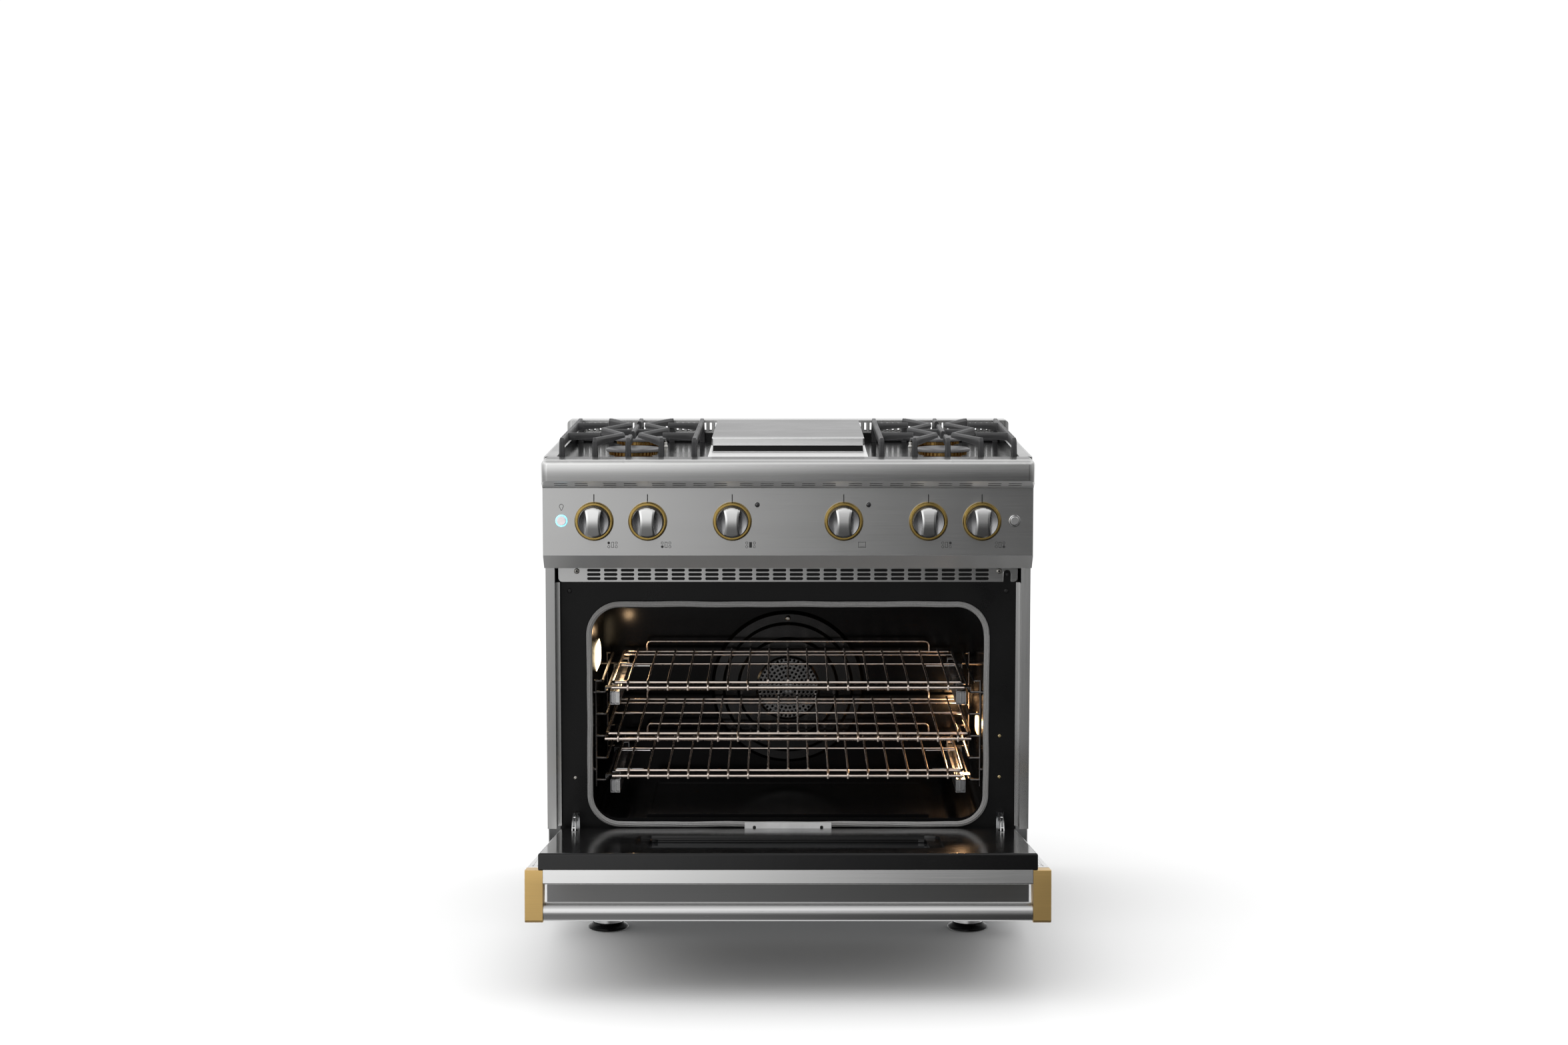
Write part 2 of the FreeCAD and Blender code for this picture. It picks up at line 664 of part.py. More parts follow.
def fan_baffle():
    """A stepped round dish on the back wall, with a perforated middle."""
    host = body("baffle")
    profile = sketch_on(host, "XZ_Plane", "profile")
    depth = "(cavity_back - gap - baffle_front)"
    outline(profile, [
        ("0", depth), ("62", depth), ("66", f"{depth} - 3"), ("98", f"{depth} - 3"),
        ("104", f"{depth} - 9"), ("128", f"{depth} - 9"), ("134", f"{depth} - 15"),
        ("150", f"{depth} - 15"), ("baffle_radius", "0"),
        ("baffle_radius - 2", "0"), ("148.5", f"{depth} - 16.5"), ("133", f"{depth} - 16.5"),
        ("127", f"{depth} - 10.5"), ("103", f"{depth} - 10.5"), ("97", f"{depth} - 4.5"),
        ("65", f"{depth} - 4.5"), ("61", f"{depth} - 1.5"), ("0", f"{depth} - 1.5"),
    ])
    revolve(host, profile)
    host.Placement = Placement(Vector(), Rotation(Vector(1, 0, 0), 90))
    bind(host, "Placement.Base.y", "cavity_back - gap")
    bind(host, "Placement.Base.z", "fan_level")
    doc.recompute()
    face = size["baffle_front"]
    radius = size["baffle_hole"]
    holes = [Part.makeCylinder(radius, 10, Vector(0, face - 3, size["fan_level"]), ALONG_Y)]
    for ring in range(1, 8):
        reach = ring * size["baffle_pitch"]
        for step in range(6 * ring):
            angle = 2 * math.pi * step / (6 * ring)
            x = reach * math.cos(angle)
            z = size["fan_level"] + reach * math.sin(angle)
            holes.append(Part.makeCylinder(radius, 10, Vector(x, face - 3, z), ALONG_Y))
    tool = coded(Part.makeCompound(holes), "baffle_holes")
    return node(cut(host, tool), "fan_baffle")


def fan_motor():
    """The fan's motor, behind the oven's back wall, with a bore for the shaft."""
    can = rod("38", "60", ("0", "cavity_back + 16", "fan_level"), "y")
    plate = block(both("48"), ("cavity_back + 12", "cavity_back + 16"),
                  ("fan_level - 48", "fan_level + 48"))
    bore = rod("stem_bore", "34", ("0", "cavity_back + 6", "fan_level"), "y")
    return node(cut(joined(can, plate), bore), "fan_motor")


def fan_wheel():
    """The fan: a hub and six blades on a shaft."""
    level = size["fan_level"]
    back = size["cavity_back"]
    pieces = [
        Part.makeCylinder(13, 14, Vector(0, back - 18, level), ALONG_Y),
        Part.makeCylinder(size["stem_radius"], 40, Vector(0, back - 6, level), ALONG_Y),
    ]
    for step in range(6):
        blade = Part.makeBox(66, 1.5, 14, Vector(10, -0.75, -7))
        blade.rotate(Vector(), ALONG_X, 65)
        blade.rotate(Vector(), ALONG_Y, 60 * step)
        blade.translate(Vector(0, back - 11, level))
        pieces.append(blade)
    return node(coded(one_solid(pieces), "wheel"), "fan_wheel")


def oven_burners():
    """The bake burner under the oven's floor and the broil burner under its ceiling."""
    tube = joined(
        block(both("18"), ("-200", "190"), ("175", "195")),
        block(both("150"), ("-120", "-100"), ("175", "195")),
        block(both("150"), ("40", "60"), ("175", "195")),
    )
    inside = joined(
        block(both("16.5"), ("-198", "188"), ("176.5", "193.5")),
        block(both("148"), ("-118", "-102"), ("176.5", "193.5")),
        block(both("148"), ("42", "58"), ("176.5", "193.5")),
    )
    bake = cut(tube, inside)
    case = block(both("115"), ("-130", "80"), ("602", "cavity_top - gap"))
    hollow = block(both("113.5"), ("-128.5", "78.5"), ("606", "cavity_top - gap - gauge"))
    ports = [block((f"{x} - 3", f"{x} + 3"), ("-120", "70"), ("600", "608")) for x in range(-100, 101, 20)]
    return node(group(bake, cut(case, hollow, *ports)), "oven_burners")


# ---------------------------------------------------------------- racks
def glide_shape(side, level, front, back, name):
    """One fixed glide rail: a channel that opens inwards, with hooks over its rung."""
    z_low = f"{level} - glide_below"
    z_high = f"{level} + glide_above"
    split = "glide_split + gap"
    outer = block(on_side(side, split, "glide_outer"), (front, back), (z_low, z_high))
    inner = block(on_side(side, f"{split} - 5", "glide_outer - 1.2"), (f"({front}) - 5", f"({back}) + 5"),
                  (f"{z_low} + 1.2", f"{z_high} - 1.2"))
    channel = cut(outer, inner)
    hooks = []
    for y in ("-215", "75"):
        hooks.append(block(on_side(side, "glide_outer - 0.5", "350.8"), (y, f"{y} + 26"),
                           (f"{level} + guide_wire + gap", f"{z_high}")))
        hooks.append(block(on_side(side, "349.4", "350.8"), (y, f"{y} + 26"), (f"{level} - 7", z_high)))
    return joined(channel, *hooks, name=name)


def glide_rails():
    """The four fixed rails of the two gliding racks, hooked over the guides' rungs."""
    rails = []
    for level in ("guide_low", "guide_low + 4 * guide_pitch"):
        for side in (-1, 1):
            rails.append(glide_shape(side, level, "-glide_front", "glide_back", "rail"))
    return node(group(*rails), "glide_rails")


def glide_runners(level, rack_level, name):
    """The two moving channels under a gliding rack, with tabs up to the rack."""
    runners = []
    z_low = f"{level} - glide_below"
    z_high = f"{level} + glide_above"
    for side in (-1, 1):
        outer = block(on_side(side, "glide_inner", "glide_split"),
                      ("-glide_front", "glide_back"), (z_low, z_high))
        inner = block(on_side(side, "glide_inner + 1.2", "glide_split + 5"),
                      ("-glide_front - 5", "glide_back + 5"), (f"{z_low} + 1.2", f"{z_high} - 1.2"))
        tabs = [
            block(on_side(side, "glide_inner", "glide_inner + 1.6"), (y, f"{y} + 20"),
                  (f"{z_high} - 1", f"{rack_level} - rack_frame_wire + 1"))
            for y in ("-250", "60")
        ]
        shelves = [
            block(on_side(side, "glide_inner", "glide_split + 6"), (y, f"{y} + 20"),
                  (f"{rack_level} - rack_frame_wire - 1.2", f"{rack_level} - rack_frame_wire - 0.1"))
            for y in ("-250", "60")
        ]
        runners.append(joined(cut(outer, inner), *tabs, *shelves))
    return node(group(*runners), name)


def glide_cages(level, name):
    """The two ball cages that run between rail and runner, at half the runner's speed."""
    cages = []
    for side in (-1, 1):
        bar = block(on_side(side, "glide_inner + 1.8", "glide_outer - 1.8"),
                    ("-glide_front + 4", "glide_back - 4"),
                    (f"{level} - glide_below + 2", f"{level} + glide_above - 2"))
        cages.append(fillet(bar, 3.0, lambda e: runs_along(e, ALONG_Y)))
    return node(group(*cages), name)


def rack(width, place, wires, short_wires):
    """A wire rack: a closed frame, two cross bars, a front bar, a backstop and its grid."""
    half_width = size[f"rack_{width}"]
    level = size[f"rack_{place}_level"]
    frame = size["rack_frame_wire"]
    wire = size["rack_wire"]
    front = -size["rack_second"]
    back = size["rack_back"]
    nose = -size["rack_front"]
    side = half_width - frame
    bar = 3.2
    cross = 2.5
    weld = 0.4
    low_bar = level - size["rack_drop"]
    grid = level + frame + wire - weld
    stop = size["rack_stop_half"]
    rail = level + size["rack_stop_rise"]
    pieces = []
    for edge in (side, -side):
        corners = [(0, front, level), (edge, front, level), (edge, back, level), (0, back, level)]
        pieces.append(bent_rod(corners, frame, 9))
    backstop = [(-stop, back, level), (-stop, back, rail), (stop, back, rail), (stop, back, level)]
    pieces.append(bent_rod(backstop, cross, 9))
    pieces.append(straight_rod((-half_width + 1, nose, low_bar), (half_width - 1, nose, low_bar), bar))
    for y in (-23, 97):
        pieces.append(straight_rod((-side, y, level), (side, y, level), cross))
    for step in range(wires):
        from_middle = step - (wires - 1) / 2
        x = from_middle * size["rack_pitch"]
        if abs(from_middle) < short_wires / 2:
            pieces.append(straight_rod((x, back + frame, grid), (x, front - 2 * frame, grid), wire))
        else:
            lip = nose - bar - wire + weld
            along = [(x, back + frame, grid), (x, nose + 6, grid)]
            down = [(x, lip, low_bar + 4), (x, lip, low_bar - 4)]
            pieces.append(bent_rod(along + down, wire, 4))
    return node(coded(one_solid(pieces), f"{place}_wires"), f"rack_{place}")


# ---------------------------------------------------------------- door
def hang_door(thing):
    """Turn a piece made in the shut position down to the door's resting place."""
    pivot = Vector(0, -size["pivot_front"], size["pivot_level"])
    turn = Placement(Vector(), Rotation(Vector(1, 0, 0), size["door_open_angle"]), pivot)
    thing.Placement = turn.multiply(thing.Placement)
    return thing


def door_skin():
    """The folded steel outer skin, with a window opening and corners cut for the brackets."""
    front = "-skin_front"
    back = "-skin_back"
    outer = block(both("range_width / 2"), (front, back), ("door_bottom", "door_top"))
    softened = fillet(outer, 2.5, lambda e: e.CenterOfMass.y < -size["skin_front"] + 0.1)
    inner = block(both("range_width / 2 - gauge"), (f"{front} + gauge", f"{back} - gauge"),
                  ("door_bottom + gauge", "door_top - gauge"))
    rear = block(both("range_width / 2 - 30"), (f"{back} - 5", f"{back} + 5"),
                 ("door_bottom + 12", "door_top - 6"))
    window = block(both("window_half"), (f"{front} - 5", f"{front} + 5"), ("window_low", "window_high"))
    softened_window = fillet(window, 12.0, lambda e: runs_along(e, ALONG_Y))
    corners = [
        block(on_side(side, "bracket_inner - gap", "range_width / 2 + 5"), (f"{front} - 5", f"{back} + 5"),
              ("640 - gap", "door_top + 5"))
        for side in (-1, 1)
    ]
    vents = []
    for side in (-1, 1):
        for step in range(3):
            for shift in (0, 8):
                x = f"{side} * (range_width / 2 - 14 + {shift} - 4)"
                vents.append(rod("2.5", "10", (x, f"{back} - 5", f"{600 + 10 * step}"), "y"))
    return node(hang_door(cut(softened, inner, rear, softened_window, *corners, *vents)), "door_skin")


def door_liner():
    """The enamelled inner tray, with a stepped surround at the window and two hinge slots."""
    front = "-skin_back + gap"
    back = "-liner_back"
    outer = block(both("liner_half"), (front, back), ("liner_bottom", "door_top"))
    softened = fillet(outer, 4.0, lambda e: e.CenterOfMass.y > -size["liner_back"] - 0.1)
    inner = block(both("liner_half - gauge"), (f"{front} - 5", f"{back} - gauge"),
                  ("liner_bottom + gauge", "door_top - gauge"))
    step_plate = block(both("window_half + 30"), (f"{back} - 6.5", f"{back} - 1"),
                       ("window_low - 28", "window_high + 28"))
    seat_ring = block(both("window_half + 9"), (f"{back} - 15.6", f"{back} - 5.5"),
                      ("window_low - 9", "window_high + 9"))
    shell = joined(cut(softened, inner), step_plate, seat_ring)
    pane_seat = block(both("window_half + 6"), (f"{front} - 5", f"{back} - 11"),
                      ("window_low - 6", "window_high + 6"))
    opening = block(both("window_half"), (f"{back} - 20", f"{back} + 5"), ("window_low", "window_high"))
    rounded_opening = fillet(opening, 14.0, lambda e: runs_along(e, ALONG_Y))
    step = block(both("window_half + 24"), (f"{back} - 5", f"{back} + 5"),
                 ("window_low - 22", "window_high + 22"))
    rounded_step = fillet(step, 26.0, lambda e: runs_along(e, ALONG_Y))
    slots = [
        block(on_side(side, "arm_offset - 7", "arm_offset + 7"), (f"{back} - 5", f"{back} + 5"),
              ("pivot_level + 26", "pivot_level + 50"))
        for side in (-1, 1)
    ]
    return node(hang_door(cut(shell, pane_seat, rounded_opening, rounded_step, *slots)), "door_liner")


def door_glass():
    """The window's two panes, one behind the skin and one in the liner."""
    inner = block(both("window_half + 5.5"), ("-liner_back - 15.3", "-liner_back - 11.3"),
                  ("window_low - 5.5", "window_high + 5.5"))
    outer = block(both("window_half + 9"), ("-skin_front + gauge + 0.1", "-skin_front + gauge + 4.1"),
                  ("window_low - 9", "window_high + 9"))
    return node(hang_door(group(inner, outer)), "door_glass")


def door_handle():
    """A steel tube across the door, between its two brackets."""
    length = "2 * (bracket_inner - gap)"
    start = ("-bracket_inner + gap", "-handle_front", "handle_level")
    tube = rod("handle_radius", length, start, "x")
    before = ("-bracket_inner - 10", "-handle_front", "handle_level")
    bore = rod("handle_radius - 2", f"{length} + 20", before, "x")
    return node(hang_door(cut(tube, bore)), "door_handle")


def handle_bracket(side):
    """A solid bracket that takes the door's corner and reaches out to the handle."""
    host = body("bracket")
    profile = sketch_on(host, "YZ_Plane", "profile")
    outline(profile, [
        ("-skin_back - 0.5", "640"), ("-skin_back - 0.5", "door_top"), ("-skin_front", "door_top"),
        ("-handle_front - 14", "door_top - 4"), ("-handle_front - 17.5", "door_top - 8"),
        ("-handle_front - 17.5", "655"), ("-handle_front - 12", "648"), ("-skin_front - 4", "640"),
    ])
    start = "bracket_inner" if side > 0 else "-range_width / 2"
    bind(profile, "AttachmentOffset.Base.z", start)
    pad(host, profile, "range_width / 2 - bracket_inner")
    round_edges(host, "1.2", lambda e: runs_along(e, ALONG_X))
    return host


def handle_brackets():
    return node(hang_door(group(handle_bracket(-1), handle_bracket(1))), "handle_brackets")


def hinge_arms():
    """Two curved twin-plate arms, centred on the hinge axis, that reach into the frame."""
    low = size["arm_radius"] - size["arm_half"]
    high = size["arm_radius"] + size["arm_half"]
    start = math.radians(-37)
    end = math.radians(98)
    spin = (start + end) / 2

    def at(radius, angle):
        y = -size["pivot_front"] + radius * math.cos(angle)
        return Vector(0, y, size["pivot_level"] + radius * math.sin(angle))

    edges = [
        Part.Arc(at(high, start), at(high, spin), at(high, end)).toShape(),
        Part.LineSegment(at(high, end), at(low, end)).toShape(),
        Part.Arc(at(low, end), at(low, spin), at(low, start)).toShape(),
        Part.LineSegment(at(low, start), at(high, start)).toShape(),
    ]
    plate = Part.Face(Part.Wire(edges)).extrude(Vector(1.8, 0, 0))
    arms = []
    for side in (-1, 1):
        pieces = []
        for x in (-3.8, 2.0):
            copy = plate.copy()
            copy.translate(Vector(side * size["arm_offset"] + x, 0, 0))
            pieces.append(copy)
        for angle in (-30, 20, 60, 92):
            centre = at(size["arm_radius"], math.radians(angle))
            centre.x = side * size["arm_offset"] - 3.4
            pieces.append(Part.makeCylinder(2.6, 6.8, centre, ALONG_X))
        arms.append(one_solid(pieces))
    return node(hang_door(coded(Part.makeCompound(arms), "arms")), "hinge_arms")


# ---------------------------------------------------------------- control panel
KNOBS = [
    ("knob_rear_left", "-knob_outer_row"),
    ("knob_front_left", "-knob_mid_row"),
    ("knob_griddle", "-knob_inner_row"),
    ("knob_oven", "knob_inner_row"),
    ("knob_rear_right", "knob_mid_row"),
    ("knob_front_right", "knob_outer_row"),
]


def landing_ledge():
    """The steel ledge along the front, with a rounded nose and a slotted underside."""
    host = body("ledge")
    profile = sketch_on(host, "YZ_Plane", "profile")
    outline(profile, [
        ("-ledge_back", "cook_height"), ("-ledge_front + ledge_bow", "cook_height"),
        ("-ledge_front", "(cook_height + ledge_bottom) / 2"), ("-ledge_front + ledge_bow", "ledge_bottom"),
        ("-panel_face", "panel_top + gap"), ("-ledge_back", "panel_top + gap"),
    ])
    pad(host, profile, "range_width", middle=True)

    def bow(edge):
        return runs_along(edge, ALONG_X) and edge.CenterOfMass.y < -size["ledge_front"] + 0.1

    round_edges(host, "ledge_bow_radius", bow, "bow")

    def plan_corner(edge):
        box = edge.BoundBox
        at_end = box.XLength < 0.1 and box.YLength < size["ledge_bow"] + 0.1
        return at_end and box.YMax < -size["ledge_front"] + size["ledge_bow"] + 0.1

    round_edges(host, "ledge_corner", plan_corner, "corners")

    def nose(edge):
        high = edge.CenterOfMass.z > size["cook_height"] - 0.1
        return high and edge.CenterOfMass.y < -size["ledge_front"] + size["ledge_corner"]

    round_edges(host, "ledge_round", nose, "nose")
    hollow = sketch_on(host, "YZ_Plane", "hollow")
    outline(hollow, [
        ("-ledge_back + 5", "cook_height - gauge"),
        ("-ledge_front + ledge_bow + ledge_round", "cook_height - gauge"),
        ("-ledge_front + ledge_bow + gauge", "cook_height - ledge_round"),
        ("-ledge_front + ledge_bow + gauge", "ledge_bottom + 1"),
        ("-panel_face + 1", "panel_top + gap + gauge"), ("-ledge_back + 5", "panel_top + gap + gauge"),
    ])
    pocket(host, hollow, "range_width - 2 * ledge_corner", middle=True)

    pairs = [0] + [s * x for x in (38.3, 76.5, 124.5, 163, 201, 239, 291, 329, 382, 420) for s in (-1, 1)]
    rise = size["ledge_bottom"] - size["panel_top"]
    run = size["ledge_front"] - size["ledge_bow"] - size["panel_face"]
    tilt = math.degrees(math.atan2(rise, run))
    middle_y = -(size["ledge_front"] - size["ledge_bow"] + size["panel_face"]) / 2
    middle = Vector(0, middle_y, (size["ledge_bottom"] + size["panel_top"]) / 2)
    slots = []
    for x in pairs:
        for across in (-5, 5):
            slot = stadium(25, 3.5, 14, Vector(0, -7, 0))
            slot.translate(Vector(0, 0, across))
            slot.rotate(Vector(), ALONG_X, 90 - tilt)
            slot.translate(middle + Vector(x, 0, 0))
            slots.append(slot)
    return node(cut(host, coded(Part.makeCompound(slots), "ledge_slots")), "landing_ledge")


def control_panel():
    """The folded front panel, with holes for stems, buttons and lamps."""
    host = body("panel")
    profile = sketch_on(host, "YZ_Plane", "profile")
    back = "-body_depth / 2 - gap"
    outline(profile, [
        ("-panel_face", "panel_top"), ("-panel_face", "panel_bottom"), ("-panel_lip_front", "panel_lip"),
        (back, "panel_lip"), (back, "panel_top"),
    ])
    pad(host, profile, "range_width", middle=True)
    face = -size["panel_face"]
    round_edges(host, "2", lambda e: e.CenterOfMass.y < face + 0.1 and runs_along(e, ALONG_Z))
    hollow = sketch_on(host, "YZ_Plane", "hollow")
    outline(hollow, [
        ("-panel_face + gauge", "panel_top - gauge"), ("-panel_face + gauge", "panel_bottom + 0.6"),
        ("-panel_lip_front + 0.6", "panel_lip + gauge"), (f"{back} + 5", "panel_lip + gauge"),
        (f"{back} + 5", "panel_top - gauge"),
    ])
    pocket(host, hollow, "range_width - 4", middle=True)
    holes = sketch_on(host, "XZ_Plane", "holes", "panel_face + 5")
    for _, x in KNOBS:
        circle(holes, x, "knob_level", "7")
    for x in ("-button_offset", "button_offset"):
        circle(holes, x, "button_level", "button_hole")
    for x in ("lamp_left", "lamp_right"):
        circle(holes, x, "lamp_level", "3")
    pocket(host, holes, "12")
    return node(host, "control_panel")


def knob(x, name):
    """A round metal knob with a waisted grip bar, on the stem it turns."""
    host = body(name)
    disc = sketch_on(host, "XZ_Plane", "disc", "panel_face + 1")
    circle(disc, "0", "0", "knob_radius")
    pad(host, disc, "knob_reach")
    sides = sketch_on(host, "XZ_Plane", "sides", "panel_face + 1 + knob_reach")
    for side in (-1, 1):
        circle(sides, f"{side} * (grip_waist / 2 + grip_curve)", "0", "grip_curve")
    pocket(host, sides, "grip_height", back=False)
    round_edges(host, "1", lambda e: e.CenterOfMass.y < -size["panel_face"] - 14, "soft_edges")
    stem = sketch_on(host, "XZ_Plane", "stem", "panel_face - 28")
    circle(stem, "0", "0", "stem_radius")
    pad(host, stem, "30", name="stem_pad")
    bind(host, "Placement.Base.x", x)
    bind(host, "Placement.Base.z", "knob_level")
    return node(host, name)


def knob_bezels():
    """Six turned rings on the panel, one round each knob."""
    rings = []
    for name, x in KNOBS:
        host = body(name + "_ring")
        profile = sketch_on(host, "XY_Plane", "profile")
        outline(profile, [
            ("bezel_bore", "0"), ("bezel_radius", "0"), ("bezel_radius", "-3"),
            ("bezel_radius - 2.5", "-bezel_height"), ("bezel_bore + 1.2", "-bezel_height"),
            ("bezel_bore", "-bezel_height + 1.2"),
        ])
        feature = host.newObject("PartDesign::Revolution", "turned")
        feature.Profile = profile
        feature.ReferenceAxis = (profile, ["V_Axis"])
        bind(host, "Placement.Base.x", x)
        bind(host, "Placement.Base.y", "-panel_face - 0.05")
        bind(host, "Placement.Base.z", "knob_level")
        rings.append(host)
    return node(group(*rings), "knob_bezels")


def push_button(x, name):
    """A round cap on a stem, free to be pressed into the panel."""
    face = "-panel_face - button_reach"
    cap = rod("button_radius", "button_reach + 10", (x, face, "button_level"), "y")
    soft = fillet(cap, 1.5, lambda e: e.CenterOfMass.y < -size["panel_face"] - 3)
    return node(soft, name)


def indicator_lamps():
    """Two domed lamps on the panel."""
    lamps = []
    for x in ("lamp_left", "lamp_right"):
        dome = rod("lamp_radius", "5", (x, "-panel_face - 5.1", "lamp_level"), "y")
        lamps.append(fillet(dome, 3.5, lambda e: e.CenterOfMass.y < -size["panel_face"] - 4.5))
    return node(group(*lamps), "indicator_lamps")


def gas_manifold():
    """The pipe that feeds the six valves, with the valves' bodies on it."""
    pieces = [rod("11", "800", ("-400", "-298", "knob_level"), "x")]
    for _, x in KNOBS:
        pieces.append(rod("15", "46", (x, "-panel_face + 10", "knob_level"), "y"))
    bores = [rod("stem_bore", "26", (x, "-panel_face + 5", "knob_level"), "y") for _, x in KNOBS]
    return node(cut(joined(*pieces), *bores), "gas_manifold")


# ---------------------------------------------------------------- cooktop
def cooktop_pan():
    """The sunken cooktop, with a rim that is level with the ledge."""
    back = "trim_front - gap"
    front = "-ledge_back + gap"
    outer = block(both("range_width / 2"), (front, back), ("well_floor - gauge", "cook_height"))
    depth = (f"{front} + gauge", f"{back} - gauge")
    well = block(both("well_half"), depth, ("well_floor", "cook_height + 5"))
    rounded = fillet(well, 12.0, lambda e: runs_along(e, ALONG_Z))
    under = [
        block(on_side(side, "well_half + gauge", "range_width / 2 - gauge"), depth,
              ("well_floor - 5", "cook_height - gauge"))
        for side in (-1, 1)
    ]
    return node(cut(outer, rounded, *under), "cooktop_pan")


BURNERS = [(x, y) for y in ("-burner_front", "burner_back") for x in ("-burner_x", "burner_x")]


def burner_bases():
    """Four brass burner heads that stand on the cooktop's floor."""
    heads = []
    for x, y in BURNERS:
        stand = rod("38", "5.8", (x, y, "well_floor + gap"))
        ring = rod("cap_radius - 6", "7", (x, y, "well_floor + gap + 5.5"))
        heads.append(joined(stand, ring))
    return node(group(*heads), "burner_bases")


def burner_caps():
    """Four cast caps with a rounded shoulder, one on each burner head."""
    caps = []
    for x, y in BURNERS:
        disc = rod("cap_radius", "7", (x, y, "well_floor + 2 * gap + 12.5"))
        caps.append(fillet(disc, 4.0, lambda e: e.CenterOfMass.z > size["well_floor"] + 18))
    return node(group(*caps), "burner_caps")


def cast_bar(start, end, top, low, end_low=None, ridge=5.5, width=9.5):
    """A bar of a casting: flat sides, a sloped ridge, and an underside that may rise to its end."""
    a = Vector(start[0], start[1], 0)
    b = Vector(end[0], end[1], 0)
    way = (b - a).normalize()
    side = Vector(-way.y, way.x, 0)
    wires = []
    for point, bottom in ((a, low), (b, low if end_low is None else end_low)):
        corners = []
        for across, z in ((-width, bottom), (width, bottom), (width, top - 4), (ridge, top)):
            corners.append(point + side * (across / 2) + Vector(0, 0, z))
        for across, z in ((-ridge, top), (-width, top - 4)):
            corners.append(point + side * (across / 2) + Vector(0, 0, z))
        wires.append(Part.makePolygon(corners + [corners[0]]))
    return Part.makeLoft(wires, True, True)


def bevelled_plan(x, y, z, wide, deep, bevel):
    """A level rectangle with cut corners, as a wire."""
    across = wide / 2
    along = deep / 2
    corners = []
    for right, near in ((1, 1), (-1, 1), (-1, -1), (1, -1)):
        first = Vector(x + right * (across - bevel), y + near * along, z)
        second = Vector(x + right * across, y + near * (along - bevel), z)
        corners += [second, first] if right * near > 0 else [first, second]
    return Part.makePolygon(corners + [corners[0]])


def grate_leg(x, y, inward, top):
    """A leg of a grate: a tapered post with bevelled corners, and a crown that slopes inward."""
    foot_level = size["well_floor"] + size["gap"]
    shoulder = top - 8
    foot = bevelled_plan(x, y, foot_level, 12.0, 12.0, 2.2)
    neck = bevelled_plan(x, y, shoulder, 9.5, 10.0, 1.8)
    crown = bevelled_plan(x, y + inward * 2.4, top, 6.5, 5.2, 0.8)
    return [Part.makeLoft([foot, neck], True, True), Part.makeLoft([neck, crown], True, True)]


def grate(side, name):
    """A cast grate over two burners: rails, cross bars, legs and bent fingers."""
    middle = side * size["grate_x"]
    pitch = size["grate_pitch"]
    front = -size["grate_front"]
    back = size["grate_back"]
    centre = (front + back) / 2
    top = size["grate_top"]
    deep = top - 15
    shallow = top - 9
    columns = [middle + pitch * step for step in (-2, -1, 0, 1, 2)]
    pieces = []
    for x in (columns[0], columns[-1]):
        pieces.append(cast_bar((x, front), (x, back), top, deep))
    pieces.append(cast_bar((columns[1], centre), (columns[3], centre), top - 3, deep))
    for row, end in ((-size["burner_front"], front), (size["burner_back"], back)):
        inward = 1 if end < row else -1
        tip = 17
        for column, out in ((columns[1], -1), (columns[3], 1)):
            point = (middle + out * tip, row)
            pieces.append(cast_bar((column, end), point, top, deep, shallow))
            pieces.append(cast_bar((column, centre), point, top, deep, shallow))
            rail = columns[0] if out < 0 else columns[-1]
            pieces.append(cast_bar((rail, row), (middle + out * 60, row), top, deep, shallow))
        pieces.append(cast_bar((columns[2], end), (columns[2], row - inward * 42), top, deep))
        pieces.append(cast_bar((columns[2], centre), (columns[2], row + inward * 42), top, deep))
        tie_top = size["well_floor"] + 11
        pieces.append(cast_bar((columns[0], end), (columns[-1], end), tie_top, tie_top - 8))
        for x in columns:
            pieces.extend(grate_leg(x, end, inward, top))
    return node(coded(one_solid(pieces), name + "_casting"), name)


def griddle_plate():
    """The griddle's steel surround and its raised cooking plate."""
    base = block(both("150"), ("-ledge_back + gauge + 2 * gap", "trim_front - gauge - 2 * gap"),
                 ("well_floor + gap", "cook_height - 1"))
    plate = block(both("griddle_half - 2.5"), ("-griddle_front + 3", "trim_front - 6"),
                  ("cook_height - 2", "griddle_top - 17"))
    under = block(both("147"), ("-ledge_back + 6", "trim_front - 6"),
                  ("well_floor - 5", "cook_height - 3"))
    return node(cut(joined(base, plate), under), "griddle_plate")


def griddle_cover():
    """The steel lid that lies over the griddle."""
    top = size["griddle_top"]
    outer = block(both("griddle_half"), ("-griddle_front", "trim_front - 1"),
                  ("griddle_top - 16", "griddle_top"))
    inner = block(both("griddle_half - 2"), ("-griddle_front + 2", "trim_front - 3"),
                  ("griddle_top - 20", "griddle_top - 2"))
    soft = fillet(outer, 3.0, lambda e: e.CenterOfMass.z > top - 0.1 or runs_along(e, ALONG_Z))
    return node(cut(soft, inner), "griddle_cover")


def island_trim():
    """The slotted steel box along the back of the cooktop."""
    back = "body_depth / 2"
    outer = block(both("range_width / 2"), ("trim_front", back), ("well_floor - gauge", "trim_top"))
    soft = fillet(outer, 10.0, lambda e: runs_along(e, ALONG_Z) or (
        runs_along(e, ALONG_Y) and e.CenterOfMass.z > size["trim_top"] - 1))
    inner = block(both("range_width / 2 - 12"), ("trim_front + gauge", f"{back} - gauge"),
                  ("well_floor - 30", "trim_top - gauge"))
    pitch = 11.4
    slots = []
    for step in range(-37, 38):
        slots.append(Part.makeBox(5.5, 80, 18, Vector(step * pitch - 2.75, size["trim_front"] - 10, 917)))
    return node(cut(soft, inner, coded(Part.makeCompound(slots), "trim_slots")), "island_trim")


